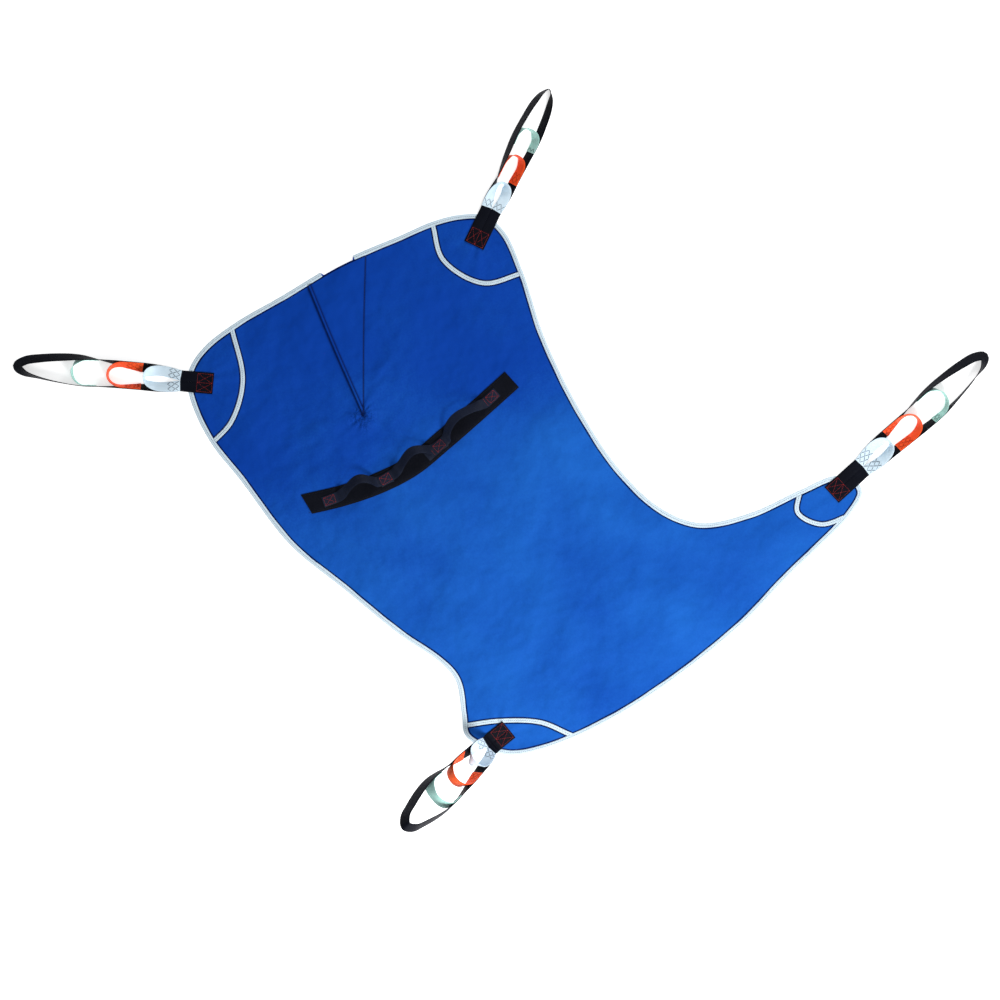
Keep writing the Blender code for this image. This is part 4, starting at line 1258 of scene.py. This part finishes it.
def crown_frames(sewn_rows, beside_leg, crown_x, twist_end, run, side):
    """A quarter turn from a coloured loop's last sewn frame to its crown, drawing away from the leg."""
    start, twist_start = sewn_rows[-1][2][0], sewn_rows[-1][1]
    extra = start.z - lifted(start.x, run, twist_start)
    leg_x = [row[2][0].x for row in beside_leg]
    leg_y = [row[2][0].y for row in beside_leg]
    leg_twist = [row[1] for row in beside_leg]
    points, twists = [], []
    for k in range(CROWN_STEPS + 2):
        angle = math.pi / 2 * k / CROWN_STEPS
        ease = float(smooth(1 - math.cos(min(angle, math.pi / 2))))
        x = start.x + (crown_x - start.x) * math.sin(angle)
        twist = float(np.interp(x, leg_x, leg_twist)) * (1 - ease) + twist_end * ease
        y = float(np.interp(x, leg_x, leg_y)) * math.cos(angle)
        points.append(Vector((x, y, lifted(x, run, twist) + extra * (1 - ease))))
        twists.append(twist)
    around = zip([2 * points[0] - points[1]] + points, points, points[1:], twists)
    return [band_frame(a, b, c, side, twist) for a, b, c, twist in around][1:]


def zigzag(frames):
    """Rows of zig-zag stitches side by side on the face of a band, from its first frame."""
    length = min(ZIG_LENGTH, run_lengths([f[0] for f in frames])[-1])
    rows = []
    for lane in range(ZIG_LANES):
        middle = (lane - (ZIG_LANES - 1) / 2) * WEBBING_WIDTH / ZIG_LANES * ZIG_SPREAD
        holes = []
        for k in range(int((length - ZIG_MARGIN) / ZIG_PITCH) + 1):
            v = middle + ZIG_SWING / 2 * (1 if (k + lane) % 2 else -1)
            along = ZIG_START + k * ZIG_PITCH
            holes.append(on_band(frames, along, v, LOOP_WEBBING / 2 + THREAD_LIFT))
        rows.append(holes)
    return rows


for corner, strap in STRAPS.items():
    joint = joints[corner + "_strap_swing"]
    root, axis = Vector(joint["pos_m"]), Vector(joint["axis"])
    outward = Vector((-axis.y, axis.x, 0))
    turn = Matrix.Rotation(math.atan2(outward.y, outward.x), 4, "Z")
    pitch = math.radians(strap["pitch"])
    body = "head" if "shoulder" in corner else "leg"

    def stood(frame_here):
        """The frame turned to the strap's bearing, and up to its pitch just past the sewn end."""
        centre, across, face = frame_here
        lift = Matrix.Rotation(-pitch * float(smooth(centre.x / ROOT_BEND)), 4, "Y")
        move = turn @ lift
        return root + move @ centre, move @ across, move @ face

    legs = leg_frames(strap, 1), leg_frames(strap, -1)
    black = [stood(row[2]) for row in legs[0]] + [stood(row[2]) for row in legs[1]][-2::-1]
    loop = settle(band_piece(corner + "_long_loop", black, WEBBING_WIDTH, WEBBING, black_webbing))
    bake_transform(loop)
    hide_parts(corner + "_sewn_end", corner + "_black_loop")

    pad_line = [(root + outward * x).to_2d() for x in (-SEWN_LENGTH, -0.0005)]
    pad_frames = flat_frames(pad_line, PAD_TOP - WEBBING / 2)
    rows = box_stitch(
        pad_frames, STRAP_BOX_MARGIN, SEWN_LENGTH - 2 * STRAP_BOX_MARGIN, 2 * WEBBING_WIDTH - 0.008,
        WEBBING / 2 + THREAD_LIFT, crosses=2)
    box = settle(sewn(corner + "_box_stitches", rows, red_thread, THREAD, BOX_FILL))
    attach(box, body)

    for name, loop_at in LOOPS.items():
        away = (WEBBING + LOOP_WEBBING) / 2 + LOOP_GAP
        run = strap["run"]
        crown_x = run + loop_at["crown"] * LOOP_LENGTH * strap["size"][0]
        halves, ends = [], []
        for leg, side in zip(legs, (1, -1)):
            beside_leg = [(s, t, (c + f * away, a, f)) for s, t, (c, a, f) in leg]
            past = [row for row in beside_leg if row[2][0].x > run]
            rows = [row for row in past if loop_at["sewn"] <= row[0] <= loop_at["leaves"]]
            crown = crown_frames(rows, beside_leg, crown_x, math.radians(loop_at["twist"]), run, side)
            halves.append([row[2] for row in rows] + crown)
            ends.append([stood(row[2]) for row in rows])
        whole = [stood(f) for f in halves[0] + halves[1][-2::-1]]
        short = settle(band_piece(
            f"{corner}_{name}_short_loop", whole, WEBBING_WIDTH, LOOP_WEBBING, loop_finishes[name]))
        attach(short, corner + "_strap")
        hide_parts(f"{corner}_{name}_loop")
        zigs = [row for end in ends for row in zigzag(end)]
        zig = settle(sewn(f"{corner}_{name}_zigzag", zigs, loop_threads[name], ZIG_THREAD, 0.5))
        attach(zig, corner + "_strap")

# ---- Studio ---------------------------------------------------------------------------------------
# A plain pale bed, a broad soft light low over the foot end, and a camera straight above.

BED_HALF = 30.0
CAMERA_PLACE = (-0.172, -0.136, 6.0)
CAMERA_TURN = math.radians(-29)

bed_finish, tree, shader = new_finish("pale bed")
bed_colour = mixed(tree, noise(tree, object_place(tree), 1.5), (0.93, 0.93, 0.93), (0.95, 0.95, 0.95))
tree.links.new(bed_colour, shader.inputs["Base Color"])
set_inputs(shader, Roughness=0.9, Specular_IOR_Level=0.1, Emission_Color=(1, 1, 1, 1), Emission_Strength=0.60)
bed_corners = [(x * BED_HALF, y * BED_HALF, 0) for x, y in ((-1, -1), (1, -1), (1, 1), (-1, 1))]
bed = add_piece("bed", bed_corners, [(0, 1, 2, 3)], bed_finish)

world = bpy.data.worlds.new("studio")
world.use_nodes = True
set_inputs(world.node_tree.nodes["Background"], Color=(0.97, 0.985, 1.0, 1), Strength=0.40)
bpy.context.scene.world = world


def soft_light(name, place, aim, size, power):
    lamp = bpy.data.lights.new(name, "AREA")
    lamp.shape = "SQUARE"
    lamp.size = size
    lamp.energy = power
    obj = in_scene(name, lamp)
    obj.location = place
    obj.rotation_euler = (Vector(aim) - Vector(place)).to_track_quat("-Z", "Y").to_euler()


soft_light("foot_light", (-0.2, -2.6, 1.9), (-0.2, -0.1, 0.0), 1.2, 112)
soft_light("side_light", (2.6, 1.6, 1.5), (-0.2, 0.3, 0.0), 0.9, 52)

camera_data = bpy.data.cameras.new("camera")
camera_data.lens = 90
camera_data.sensor_width = 36
camera = in_scene("camera", camera_data)
camera.location = CAMERA_PLACE
camera.rotation_euler = (0, 0, CAMERA_TURN)
bpy.context.scene.camera = camera
bpy.context.scene.view_settings.view_transform = "Standard"
